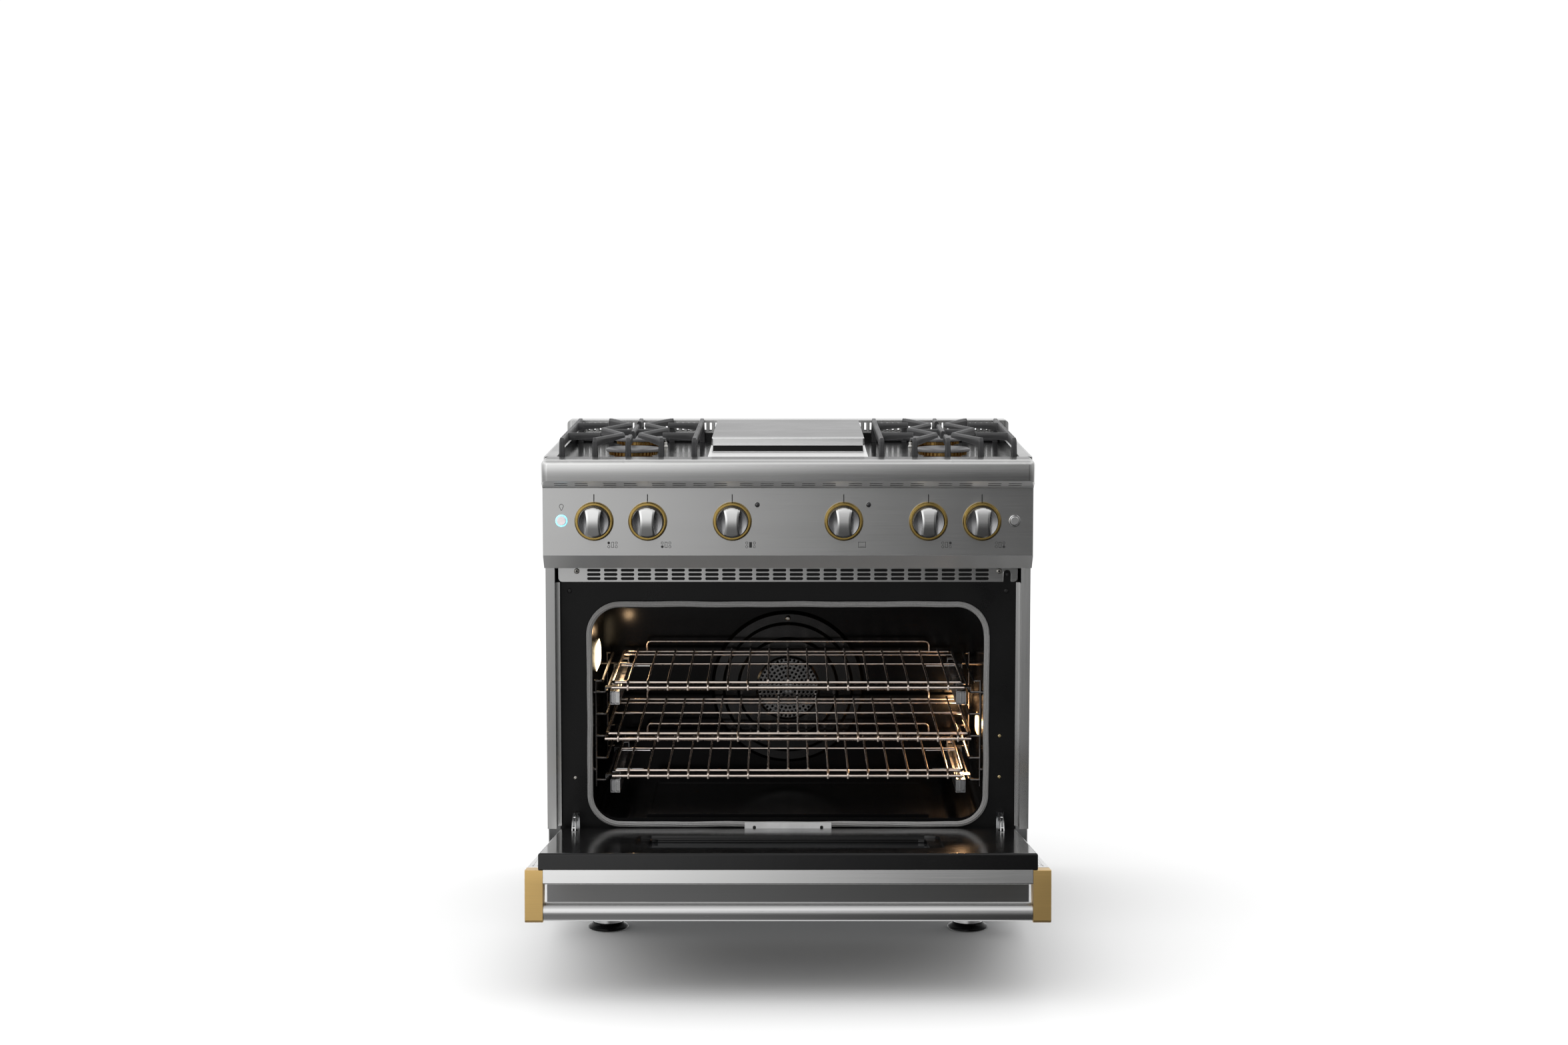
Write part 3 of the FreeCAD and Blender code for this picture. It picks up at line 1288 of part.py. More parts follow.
# ---------------------------------------------------------------- services
def gas_inlet():
    """The regulator and the pipe end that a gas line screws on to."""
    block_part = block(("inlet_x - 30", "inlet_x + 30"), ("190", "262"),
                       ("inlet_level - 17", "inlet_level + 17"))
    dome = rod("22", "26", ("inlet_x", "225", "inlet_level + 15"))
    nipple = rod("inlet_radius", "40", ("inlet_x", "260", "inlet_level"), "y")
    bore = rod("7", "50", ("inlet_x", "255", "inlet_level"), "y")
    return node(cut(joined(block_part, dome, nipple), bore), "gas_inlet")


def power_gland():
    """The plastic bush in the rear panel where the supply lead comes in."""
    back = "body_depth / 2"
    shank = rod("8.6", "14", ("gland_x", f"{back} - 12", "gland_level"), "y")
    head = rod("13", "3", ("gland_x", f"{back} + 0.1", "gland_level"), "y")
    bore = rod("4.5", "40", ("gland_x", f"{back} - 20", "gland_level"), "y")
    return node(cut(joined(shank, head), bore), "power_gland")


def frame_screws():
    """Round-headed screws on the oven's frame, the sill plate, the grille and the baffle."""
    frame = size["frame_face"]
    places = [(-413, frame, 655, 4.5), (413, frame, 655, 4.5)]
    places += [(402, frame, 377, 3.5), (402, frame, 298, 3.5), (-405, frame, 296, 3.5)]
    places += [(-399, frame + 1.5, 693, 4), (399, frame + 1.5, 693, 4)]
    places += [(-64, 282.6, 202.5, 3), (64, 282.6, 202.5, 3)]
    heads = []
    for x, face, z, radius in places:
        tall = 0.3 if face > 280 else 2.2
        head = Part.makeCylinder(radius, tall, Vector(x, -face - 0.05, z), Vector(0, -1, 0))
        heads.append(head)
    heads.append(Part.makeCylinder(5, 3, Vector(0, 160.6, size["fan_level"] + 142), Vector(0, -1, 0)))
    return node(coded(Part.makeCompound(heads), "heads"), "frame_screws")


# ---------------------------------------------------------------- build
def build():
    side_panel(-1, "side_panel_left")
    side_panel(1, "side_panel_right")
    rear_panel()
    base_pan()
    kick_panel()
    leg_sleeves()
    foot("-foot_x", "-foot_y", "foot_front_left")
    foot("foot_x", "-foot_y", "foot_front_right")
    foot("-foot_x", "foot_y", "foot_rear_left")
    foot("foot_x", "foot_y", "foot_rear_right")

    front_frame()
    vent_grille()
    oven_cavity()
    cavity_floor_panel()
    hearth_plate()
    oven_gasket()
    rack_guides()
    oven_light_lenses()
    fan_baffle()
    fan_motor()
    fan_wheel()
    oven_burners()

    glide_rails()
    upper = "guide_low + 4 * guide_pitch"
    glide_runners(upper, "rack_upper_level", "glide_runners_upper")
    glide_runners("guide_low", "rack_lower_level", "glide_runners_lower")
    glide_cages(upper, "glide_cages_upper")
    glide_cages("guide_low", "glide_cages_lower")
    rack("narrow", "upper", 17, 3)
    rack("wide", "middle", 18, 4)
    rack("narrow", "lower", 17, 3)

    door_skin()
    door_liner()
    door_glass()
    door_handle()
    handle_brackets()
    hinge_arms()

    control_panel()
    landing_ledge()
    for name, x in KNOBS:
        knob(x, name)
    knob_bezels()
    push_button("-button_offset", "button_light")
    push_button("button_offset", "button_fan")
    indicator_lamps()
    gas_manifold()

    cooktop_pan()
    burner_bases()
    burner_caps()
    grate(-1, "grate_left")
    grate(1, "grate_right")
    griddle_plate()
    griddle_cover()
    island_trim()

    gas_inlet()
    power_gland()
    frame_screws()
    doc.recompute()


def check():
    """Stop if any object failed or any sub-part is empty or not valid."""
    for thing in doc.Objects:
        if "Invalid" in thing.State or "Error" in thing.State:
            raise RuntimeError(f"{thing.Label} failed: {thing.State}")
    for thing in NODES:
        if thing.Shape.isNull() or not thing.Shape.isValid() or not thing.Shape.Solids:
            raise RuntimeError(f"{thing.Label} has no valid solid")


def write():
    os.makedirs("parts", exist_ok=True)
    for thing in NODES:
        thing.Shape.exportStep(f"parts/{thing.Label}.step")
    print(len(NODES), "sub-parts written")


build()
check()
write()
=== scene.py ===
import math

import bmesh
import bpy
from mathutils import Matrix, Vector


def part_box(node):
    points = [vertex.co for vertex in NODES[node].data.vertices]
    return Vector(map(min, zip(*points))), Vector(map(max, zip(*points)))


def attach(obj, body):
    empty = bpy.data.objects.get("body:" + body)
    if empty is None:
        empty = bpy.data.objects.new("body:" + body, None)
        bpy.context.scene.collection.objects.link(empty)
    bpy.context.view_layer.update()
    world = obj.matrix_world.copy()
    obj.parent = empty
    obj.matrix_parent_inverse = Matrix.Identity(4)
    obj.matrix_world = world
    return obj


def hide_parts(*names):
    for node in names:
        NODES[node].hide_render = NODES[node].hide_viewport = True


# The looks of a freestanding gas range. Metres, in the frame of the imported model:
# X to the right, Y to the back, Z up, origin on the floor under the body's middle.

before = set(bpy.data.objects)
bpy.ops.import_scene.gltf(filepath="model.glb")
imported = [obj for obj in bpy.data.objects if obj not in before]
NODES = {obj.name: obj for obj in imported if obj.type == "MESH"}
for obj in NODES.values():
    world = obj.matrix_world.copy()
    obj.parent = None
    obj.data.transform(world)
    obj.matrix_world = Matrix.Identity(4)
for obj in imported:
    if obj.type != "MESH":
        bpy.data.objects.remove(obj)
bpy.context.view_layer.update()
MM = 0.001
BODY = "body"
ALONG_Y = Vector((0, 1, 0))
ALONG_Z = Vector((0, 0, 1))
FRONT = Vector((0, -1, 0))


def middle(name):
    low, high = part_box(name)
    return (low + high) / 2


# ---------------------------------------------------------------- shader graphs
class Tree:
    """A node tree, with short calls for the few kinds of node that this scene uses."""

    def __init__(self, tree):
        self.nodes = tree.nodes
        self.links = tree.links

    def add(self, kind, **settings):
        made = self.nodes.new(kind)
        for key, value in settings.items():
            setattr(made, key, value)
        return made

    def feed(self, socket, value):
        """Link an output, or set a plain value."""
        if isinstance(value, bpy.types.NodeSocket):
            self.links.new(value, socket)
        else:
            socket.default_value = value

    def spread(self, value, low, high, start=0.3, end=0.7):
        """Map start to end on to low to high, held at both ends."""
        made = self.add("ShaderNodeMapRange")
        self.feed(made.inputs["Value"], value)
        for socket, number in (("From Min", start), ("From Max", end), ("To Min", low), ("To Max", high)):
            made.inputs[socket].default_value = number
        return made.outputs["Result"]

    def maths(self, operation, a, b=0.0):
        made = self.add("ShaderNodeMath", operation=operation)
        self.feed(made.inputs[0], a)
        self.feed(made.inputs[1], b)
        return made.outputs[0]

    def mixed(self, share, a, b):
        """A colour between a and b, each a colour or an output."""
        made = self.add("ShaderNodeMix", data_type="RGBA")
        self.feed(made.inputs["Factor"], share)
        self.feed(made.inputs[6], (*a, 1) if isinstance(a, tuple) else a)
        self.feed(made.inputs[7], (*b, 1) if isinstance(b, tuple) else b)
        return made.outputs[2]


class Graph(Tree):
    """A material's nodes."""

    def __init__(self, name, base, metallic=0.0, roughness=0.5, **more):
        self.material = bpy.data.materials.new(name)
        self.material.use_nodes = True
        super().__init__(self.material.node_tree)
        self.shader = next(n for n in self.nodes if n.type == "BSDF_PRINCIPLED")
        self.material.diffuse_color = (*base, 1)
        self.shader.inputs["Base Color"].default_value = (*base, 1)
        self.shader.inputs["Metallic"].default_value = metallic
        self.shader.inputs["Roughness"].default_value = roughness
        for socket, value in more.items():
            self.shader.inputs[socket.replace("_", " ")].default_value = value
        self.place = self.add("ShaderNodeTexCoord").outputs["Object"]

    def scaled(self, x, y, z):
        mapping = self.add("ShaderNodeMapping")
        self.feed(mapping.inputs["Vector"], self.place)
        mapping.inputs["Scale"].default_value = (x, y, z)
        return mapping.outputs["Vector"]

    def noise(self, scale, vector=None, detail=3.0, rough=0.55):
        made = self.add("ShaderNodeTexNoise")
        self.feed(made.inputs["Vector"], vector or self.place)
        made.inputs["Scale"].default_value = scale
        made.inputs["Detail"].default_value = detail
        made.inputs["Roughness"].default_value = rough
        return made.outputs["Fac"]

    def cells(self, scale, vector=None, feature="F1"):
        made = self.add("ShaderNodeTexVoronoi", feature=feature)
        self.feed(made.inputs["Vector"], vector or self.place)
        made.inputs["Scale"].default_value = scale
        return made.outputs["Distance"]

    def axis(self, letter):
        made = self.add("ShaderNodeSeparateXYZ")
        self.feed(made.inputs[0], self.place)
        return made.outputs["XYZ".index(letter)]

    def tint(self, value, a, b):
        """Make the base colour go from a to b with a texture's value."""
        self.colour(self.mixed(self.spread(value, 0, 1), a, b))

    def colour(self, value):
        self.feed(self.shader.inputs["Base Color"], value)

    def base(self):
        """The output that feeds the base colour."""
        return self.shader.inputs["Base Color"].links[0].from_socket

    def rough(self, value):
        self.feed(self.shader.inputs["Roughness"], value)

    def bump(self, height, strength, distance=0.0005, before=None):
        made = self.add("ShaderNodeBump")
        made.inputs["Strength"].default_value = strength
        made.inputs["Distance"].default_value = distance
        self.feed(made.inputs["Height"], height)
        if before:
            self.feed(made.inputs["Normal"], before)
        self.feed(self.shader.inputs["Normal"], made.outputs["Normal"])
        return made.outputs["Normal"]

    def across_grain(self, axis):
        """Spread highlights across a grain that runs along one of the object's axes."""
        grain = self.add("ShaderNodeCombineXYZ")
        grain.inputs["XYZ".index(axis)].default_value = 1.0
        turn = self.add("ShaderNodeVectorTransform", vector_type="VECTOR")
        turn.convert_from, turn.convert_to = "OBJECT", "WORLD"
        self.feed(turn.inputs[0], grain.outputs[0])
        here = self.add("ShaderNodeNewGeometry")
        cross = self.add("ShaderNodeVectorMath", operation="CROSS_PRODUCT")
        self.feed(cross.inputs[0], turn.outputs[0])
        self.feed(cross.inputs[1], here.outputs["Normal"])
        self.feed(self.shader.inputs["Tangent"], cross.outputs[0])

    def looks_down(self):
        """1 on faces that look down, and 0 elsewhere."""
        split = self.add("ShaderNodeSeparateXYZ")
        self.feed(split.inputs[0], self.add("ShaderNodeTexCoord").outputs["Normal"])
        return self.maths("LESS_THAN", split.outputs["Z"], -0.2)

    def edge_highlight_mask(self, radius):
        """1 on sharp edges and 0 elsewhere, from the bevelled normal."""
        soft = self.add("ShaderNodeBevel", samples=4)
        soft.inputs["Radius"].default_value = radius
        true = self.add("ShaderNodeNewGeometry")
        dot = self.add("ShaderNodeVectorMath", operation="DOT_PRODUCT")
        self.feed(dot.inputs[0], soft.outputs["Normal"])
        self.feed(dot.inputs[1], true.outputs["Normal"])
        return self.spread(dot.outputs["Value"], 1.0, 0.0, 0.80, 0.995)


# ---------------------------------------------------------------- materials
def times(colour, factor):
    """A colour made brighter or darker, never past white."""
    return tuple(min(1.0, c * factor) for c in colour)


def along(axis, fine, coarse):
    """Scales for a texture that is drawn out along one axis."""
    return tuple(coarse if letter == axis else fine for letter in "XYZ")


def brushed(name, base, axis, roughness=0.22, anisotropic=0.8, streak=0.03, bump=0.02, smudge=0.03):
    """Metal with a brushed grain along an axis: streaks, soft smudges and fine scratches."""
    g = Graph(name, base, 1.0, roughness, Anisotropic=anisotropic)
    grain = g.noise(1.0, g.scaled(*along(axis, 900, 5)), 4, 0.7)
    bands = g.noise(1.0, g.scaled(*along(axis, 24, 0.8)), 2, 0.5)
    smears = g.noise(5.0, None, 4, 0.6)
    both = g.maths("ADD", g.maths("MULTIPLY", grain, 0.6), g.maths("MULTIPLY", bands, 0.4))
    g.colour(g.mixed(g.spread(both, 0, 1, 0.35, 0.65), times(base, 1 - streak), times(base, 1 + streak)))
    g.rough(g.maths("ADD", g.spread(grain, roughness - 0.03, roughness + 0.03), g.spread(smears, 0, smudge)))
    g.across_grain(axis)
    g.bump(grain, bump, 0.0002)
    return g


def turned(name, base, roughness=0.2):
    """Metal turned on a lathe, with rings about the Y axis of the piece's own place."""
    g = Graph(name, base, 1.0, roughness)
    rings = g.noise(1.0, g.scaled(30, 2500, 30), 3, 0.6)
    dust = g.noise(40.0, None, 4, 0.6)
    g.tint(dust, times(base, 0.9), times(base, 1.06))
    g.rough(g.spread(rings, roughness - 0.05, roughness + 0.08))
    g.bump(rings, 0.08, 0.0002)
    return g


def enamel(name, base, roughness, peel=0.05, coat=0.0, shine=0.4, specks=0.0):
    """Fired porcelain enamel: a deep gloss with orange peel, dust and faint specks."""
    g = Graph(name, base, 0.0, roughness, Coat_Weight=coat, Coat_Roughness=roughness * 0.5)
    g.shader.inputs["Specular IOR Level"].default_value = shine
    waves = g.noise(45.0, None, 2, 0.5)
    dust = g.noise(300.0, None, 5, 0.7)
    smears = g.noise(7.0, None, 3, 0.6)
    light = tuple(c + 0.004 + specks for c in base)
    g.colour(g.mixed(g.spread(dust, 0, 1, 0.55, 0.8), base, light))
    g.rough(g.maths("ADD", g.spread(smears, roughness * 0.7, roughness * 1.4), g.spread(dust, 0, 0.05)))
    g.bump(waves, peel, 0.001)
    return g


def chrome(name, base, roughness=0.12):
    """Plated wire: bright, with slight clouding where heat has touched it."""
    g = Graph(name, base, 1.0, roughness)
    cloud = g.noise(18.0, None, 4, 0.6)
    fine = g.noise(700.0, None, 2, 0.5)
    g.tint(cloud, times(base, 0.82), base)
    g.rough(g.maths("ADD", g.spread(cloud, roughness, roughness + 0.10), g.spread(fine, 0, 0.03)))
    g.bump(fine, 0.03, 0.0001)
    return g


def cast_iron(name, base, rough_low, rough_high, edge):
    """A sand casting under matt enamel: a pebbled skin, with paler edges that are a painted highlight where
    the chamfers catch the light.
    """
    g = Graph(name, base, 0.0, rough_high)
    pebbles = g.noise(420.0, None, 3, 0.6)
    pits = g.cells(900.0)
    patches = g.noise(14.0, None, 3, 0.6)
    tone = g.mixed(g.spread(patches, 0, 1), base, tuple(c * 1.5 + 0.004 for c in base))
    # painted highlight: sharp edges take the paler edge colour
    g.colour(g.mixed(g.edge_highlight_mask(0.0012), tone, edge))
    g.rough(g.spread(patches, rough_low, rough_high))
    first = g.bump(pebbles, 0.30, 0.0004)
    g.bump(pits, 0.12, 0.0002, first)
    return g


def plastic(name, base, roughness, coat=0.0, bump=0.08):
    g = Graph(name, base, 0.0, roughness, Coat_Weight=coat)
    grain = g.noise(600.0, None, 3, 0.6)
    dust = g.noise(20.0, None, 4, 0.6)
    g.tint(dust, base, tuple(c * 1.3 + 0.006 for c in base))
    g.rough(g.spread(dust, roughness * 0.85, min(1.0, roughness * 1.2)))
    g.bump(grain, bump, 0.0002)
    return g


def galvanised(name):
    """Zinc-coated sheet: a spangle of grey crystals."""
    g = Graph(name, (0.50, 0.51, 0.52), 1.0, 0.42)
    spangle = g.cells(55.0)
    fine = g.noise(200.0, None, 3, 0.6)
    g.colour(g.mixed(g.spread(spangle, 0, 1, 0.1, 0.7), (0.42, 0.43, 0.44), (0.58, 0.59, 0.60)))
    g.rough(g.spread(spangle, 0.34, 0.52, 0.1, 0.7))
    g.bump(fine, 0.05, 0.0002)
    return g


def rope(name):
    """Braided glass-fibre rope: short cross strands over lengthwise ones."""
    g = Graph(name, (0.30, 0.30, 0.30), 0.0, 0.85, Sheen_Weight=0.3)
    knit = g.cells(700.0)
    lengthwise = g.noise(260.0, None, 3, 0.6)
    soil = g.noise(9.0, None, 3, 0.6)
    fibres = g.mixed(g.spread(knit, 0, 1, 0.05, 0.55), (0.34, 0.34, 0.335), (0.21, 0.21, 0.21))
    g.colour(g.mixed(g.spread(soil, 0.0, 0.5), fibres, (0.20, 0.19, 0.18)))
    first = g.bump(knit, 0.5, 0.0004)
    g.bump(lengthwise, 0.5, 0.0004, first)
    return g


def glowing(name, base, colour, strength):
    """A lit part: brighter in the middle of its cells, as a moulded lens is."""
    g = Graph(name, base, 0.0, 0.25)
    g.shader.inputs["Emission Color"].default_value = (*colour, 1)
    ribs = g.noise(160.0, None, 2, 0.5)
    g.feed(g.shader.inputs["Emission Strength"], g.spread(ribs, strength * 0.6, strength * 1.3))
    g.bump(ribs, 0.3, 0.0005)
    return g


def window(name):
    """Tinted oven glass: nearly opaque, with a faint warm film."""
    g = Graph(name, (0.010, 0.012, 0.013), 0.0, 0.05, Coat_Weight=0.7)
    film = g.noise(6.0, None, 4, 0.6)
    g.tint(film, (0.006, 0.007, 0.008), (0.022, 0.024, 0.026))
    g.rough(g.spread(film, 0.03, 0.10))
    return g


def band(g, letter, low, high):
    """1 where a place lies between low and high on an axis, and 0 elsewhere."""
    where = g.axis(letter)
    above = g.maths("GREATER_THAN", where, low)
    below = g.maths("LESS_THAN", where, high)
    return g.maths("MULTIPLY", above, below)


def make_materials():
    steel = (0.57, 0.57, 0.565)
    gold = (0.68, 0.46, 0.18)
    made = {
        "steel_x": brushed("steel_brushed_across", steel, "X"),
        "steel_z": brushed("steel_brushed_upright", steel, "Z"),
        # painted shade: the kick panel's steel is a darker copy, standing in for the shadow under the open
        # door
        "steel_in_shade": brushed("steel_kick_panel", (0.27, 0.27, 0.27), "X", 0.30),
        "skin": brushed("steel_door_skin", (0.74, 0.74, 0.735), "X"),
        "sill_plate": plastic("sill_plate_satin", (0.60, 0.60, 0.60), 0.40, 0.2, 0.02),
        "steel_bright": brushed("steel_satin_strip", (0.72, 0.72, 0.72), "Z", 0.20, 0.3),
        "handle": brushed("steel_handle_tube", (0.62, 0.62, 0.62), "X", 0.22, 0.3),
        "knob": brushed("steel_knob_face", (0.64, 0.64, 0.635), "X", 0.20, 0.4),
        # painted shade: the knob's side steel is a darker copy, standing in for the shade in the dished
        # recesses beside the grip
        "knob_side": turned("steel_knob_side", (0.30, 0.30, 0.305), 0.22),
        "gold": brushed("gold_brushed", gold, "X", 0.32, 0.5, 0.06, 0.06),
        "gold_ring": turned("gold_turned", (0.50, 0.35, 0.11), 0.20),
        "brass": turned("burner_brass", (0.58, 0.36, 0.12), 0.30),
        "black": enamel("enamel_gloss_black", (0.002, 0.002, 0.0022), 0.09, 0.03, 0.0, 0.38),
        "black_satin": enamel("enamel_satin_black", (0.003, 0.003, 0.0032), 0.32, 0.04, 0.0, 0.25),
        "oven": enamel("enamel_oven_black", (0.002, 0.002, 0.0022), 0.13, 0.05, 0.0, 0.16, 0.001),
        "rack": chrome("rack_chrome", (0.95, 0.84, 0.76), 0.14),
        "guide": chrome("guide_dark_wire", (0.16, 0.15, 0.145), 0.22),
        "zinc": chrome("glide_zinc", (0.55, 0.55, 0.56), 0.22),
        "bright": chrome("bright_plate", (0.80, 0.80, 0.80), 0.12),
        # the last colour of the grate and the cap is the painted highlight on their edges
        "grate": cast_iron("grate_cast_iron", (0.022, 0.022, 0.023), 0.40, 0.56, (0.15, 0.15, 0.155)),
        "cap": cast_iron("cap_grey_enamel", (0.085, 0.085, 0.088), 0.34, 0.46, (0.30, 0.30, 0.30)),
        "rope": rope("gasket_rope"),
        "galvanised": galvanised("galvanised_sheet"),
        "rubber": enamel("black_foot_gloss", (0.002, 0.002, 0.002), 0.22, 0.03, 0.0, 0.12),
        "collar": chrome("foot_collar_plate", (0.80, 0.80, 0.80), 0.30),
        "nylon": plastic("black_nylon", (0.015, 0.015, 0.016), 0.45),
        "shade": plastic("ledge_inside_painted_shade", (0.004, 0.004, 0.004), 0.8, 0.0, 0.02),
        "print": plastic("black_print", (0.018, 0.018, 0.018), 0.45, 0.0, 0.02),
        "lamp_black": plastic("smoked_lamp", (0.012, 0.012, 0.014), 0.10, 0.8, 0.01),
        "glass": window("oven_window_glass"),
        "lens_left": glowing("lens_lit_white", (0.9, 0.8, 0.6), (1.0, 0.80, 0.50), 6.0),
        "lens_right": glowing("lens_lit_amber", (0.9, 0.7, 0.4), (1.0, 0.62, 0.25), 2.6),
        "led": glowing("led_ring_blue", (0.5, 0.8, 1.0), (0.12, 0.62, 0.90), 1.8),
        "led_cap": glowing("led_cap_white", (0.80, 0.74, 0.74), (0.85, 0.78, 0.85), 0.16),
        "die_cast": chrome("die_cast_zinc", (0.50, 0.50, 0.50), 0.40),
        "screw": chrome("screw_steel", (0.58, 0.56, 0.52), 0.25),
        "screw_brass": chrome("screw_yellow_zinc", (0.62, 0.50, 0.28), 0.28),
        "screw_black": chrome("screw_black_oxide", (0.05, 0.05, 0.05), 0.35),
        "ceramic": plastic("igniter_ceramic", (0.75, 0.74, 0.70), 0.35, 0.3),
    }
    made["cooktop"] = cooktop_enamel()
    made["panel"] = panel_steel()
    made["ledge"] = ledge_steel()
    made["cover"] = cover_steel()
    made["griddle"] = griddle_steel()
    made["baffle"] = baffle_enamel()
    return {key: g.material for key, g in made.items()}


def cooktop_enamel():
    """Black enamel in the sunken top, and brushed steel on its outer sides and rim."""
    g = enamel("cooktop_enamel_and_rim", (0.004, 0.004, 0.0042), 0.11, 0.03)
    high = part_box("cooktop_pan")[1]
    side = g.maths("GREATER_THAN", g.maths("ABSOLUTE", g.axis("X")), high.x - 3 * MM)
    rim = g.maths("GREATER_THAN", g.axis("Z"), high.z + 1 * MM)
    steel = g.maths("MAXIMUM", side, rim)
    black = g.base()
    gloss = g.shader.inputs["Roughness"].links[0].from_socket
    grain = g.noise(1.0, g.scaled(900, 5, 900), 4, 0.7)
    pale = g.mixed(g.spread(grain, 0, 1), (0.50, 0.50, 0.50), (0.62, 0.62, 0.62))
    g.colour(g.mixed(steel, black, pale))
    g.feed(g.shader.inputs["Metallic"], steel)
    matt = g.maths("MULTIPLY", steel, 0.17)
    g.rough(g.maths("ADD", gloss, matt))
    return g


def painted_floor_light_below(g, pale):
    """Painted floor light: a paler, less metallic steel colour on the faces that look down, so that they show
    the floor's light.
    """
    under = g.looks_down()
    g.colour(g.mixed(under, g.base(), pale))
    g.feed(g.shader.inputs["Metallic"], g.spread(under, 1.0, 0.55, 0.0, 1.0))


def panel_steel():
    """Brushed steel, with painted floor light on the bevel under the panel's face."""
    g = brushed("steel_control_panel", (0.57, 0.57, 0.565), "X")
    painted_floor_light_below(g, (0.50, 0.50, 0.495))
    return g


def ledge_steel():
    """Brushed steel, with painted shade darkening the flat on top behind the nose, and painted floor light on
    the faces that look down.
    """
    g = brushed("steel_landing_ledge", (0.66, 0.66, 0.655), "X")
    low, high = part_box("landing_ledge")
    flat = g.maths("GREATER_THAN", g.axis("Z"), high.z - 0.4 * MM)
    behind = g.maths("GREATER_THAN", g.axis("Y"), low.y + 14 * MM)
    # painted shade: the flat top behind the nose is coloured dark grey, a painted dark reflection
    g.colour(g.mixed(g.maths("MULTIPLY", flat, behind), g.base(), (0.16, 0.16, 0.16)))
    painted_floor_light_below(g, (0.74, 0.74, 0.735))
    return g


def cover_steel():
    """Brushed steel, with painted shade darkening the top behind a bright front lip, mottled at random."""
    g = brushed("steel_griddle_cover", (0.80, 0.80, 0.80), "X")
    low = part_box("griddle_cover")[0]
    # painted shade: all but the front 3 mm of the lid gets a much darker, randomly mottled colour
    behind = g.maths("GREATER_THAN", g.axis("Y"), low.y + 3 * MM)
    top_shade_mottle = g.noise(4.0, None, 3, 0.5)
    painted_top_shade = g.mixed(g.spread(top_shade_mottle, 0, 1), (0.13, 0.13, 0.13), (0.25, 0.25, 0.25))
    g.colour(g.mixed(behind, g.base(), painted_top_shade))
    return g


def griddle_steel():
    """Brushed steel, with a black band on the step under the griddle's cover: a painted shadow for the gap
    beneath the cover's lip.
    """
    g = brushed("griddle_steel_and_gap_shadow", (0.93, 0.93, 0.925), "X", 0.36)
    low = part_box("griddle_cover")[0]
    # painted shadow: the plate's step under the cover is coloured near black
    step = band(g, "Z", low.z - 11.3 * MM, low.z + 0.5 * MM)
    g.colour(g.mixed(step, g.base(), (0.02, 0.02, 0.02)))
    return g


def baffle_enamel():
    """Black enamel, with a bare steel look on the perforated middle."""
    g = enamel("baffle_enamel", (0.004, 0.004, 0.0042), 0.12, 0.04, 0.0, 0.5)
    centre = middle("fan_baffle")
    away = g.add("ShaderNodeVectorMath", operation="DISTANCE")
    flat = g.add("ShaderNodeCombineXYZ")
    g.feed(flat.inputs[0], g.axis("X"))
    g.feed(flat.inputs[2], g.axis("Z"))
    g.feed(away.inputs[0], flat.outputs[0])
    away.inputs[1].default_value = (centre.x, 0, centre.z)
    disc = g.maths("LESS_THAN", away.outputs["Value"], 60 * MM)
    g.colour(g.mixed(disc, g.base(), (0.20, 0.20, 0.20)))
    g.feed(g.shader.inputs["Metallic"], disc)
    return g


# ---------------------------------------------------------------- mesh helpers
def smooth_by_angle(limit=32):
    """A modifier group that shades smooth, but keeps edges sharper than the limit."""
    name = f"smooth_by_{limit}"
    if name in bpy.data.node_groups:
        return bpy.data.node_groups[name]
    group = bpy.data.node_groups.new(name, "GeometryNodeTree")
    group.interface.new_socket("Geometry", in_out="INPUT", socket_type="NodeSocketGeometry")
    group.interface.new_socket("Geometry", in_out="OUTPUT", socket_type="NodeSocketGeometry")
    start = group.nodes.new("NodeGroupInput")
    end = group.nodes.new("NodeGroupOutput")
    faces = group.nodes.new("GeometryNodeSetShadeSmooth")
    edges = group.nodes.new("GeometryNodeSetShadeSmooth")
    edges.domain = "EDGE"
    edges.inputs["Shade Smooth"].default_value = False
    angle = group.nodes.new("GeometryNodeInputMeshEdgeAngle")
    sharp = group.nodes.new("FunctionNodeCompare")
    sharp.operation = "GREATER_THAN"
    sharp.inputs["B"].default_value = math.radians(limit)
    link = group.links.new
    link(angle.outputs["Unsigned Angle"], sharp.inputs["A"])
    link(sharp.outputs["Result"], edges.inputs["Selection"])
    link(start.outputs[0], faces.inputs["Geometry"])
    link(faces.outputs[0], edges.inputs["Geometry"])
    link(edges.outputs[0], end.inputs[0])
    return group


def soften(thing, width=0.3 * MM, segments=2, limit=32, weld=False):
    """Round a mesh's sharp edges a little, and shade the rest smooth."""
    if weld:
        thing.modifiers.new("weld", "WELD").merge_threshold = 0.00001
    if width > 0:
        bevel = thing.modifiers.new("bevel", "BEVEL")
        bevel.width = width
        bevel.segments = segments
        bevel.limit_method = "ANGLE"
        bevel.angle_limit = math.radians(limit)
        bevel.miter_outer = "MITER_ARC"
    shade = thing.modifiers.new("shade", "NODES")
    shade.node_group = smooth_by_angle(limit)
    thing.modifiers.new("normals", "WEIGHTED_NORMAL").keep_sharp = True
    return thing


def from_bmesh(name, work):
    bmesh.ops.recalc_face_normals(work, faces=work.faces)
    mesh = bpy.data.meshes.new(name)
    work.to_mesh(mesh)
    work.free()
    thing = bpy.data.objects.new(name, mesh)
    bpy.context.scene.collection.objects.link(thing)
    return thing


def settle(name, work, body, material, replaces=(), bevel=0.0):
    """Make a piece from its mesh, and give it a material and a body; hide the parts it replaces."""
    thing = from_bmesh(name, work)
    thing.data.materials.append(LOOKS[material])
    soften(thing, bevel)
    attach(thing, body)
    if replaces:
        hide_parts(*replaces)


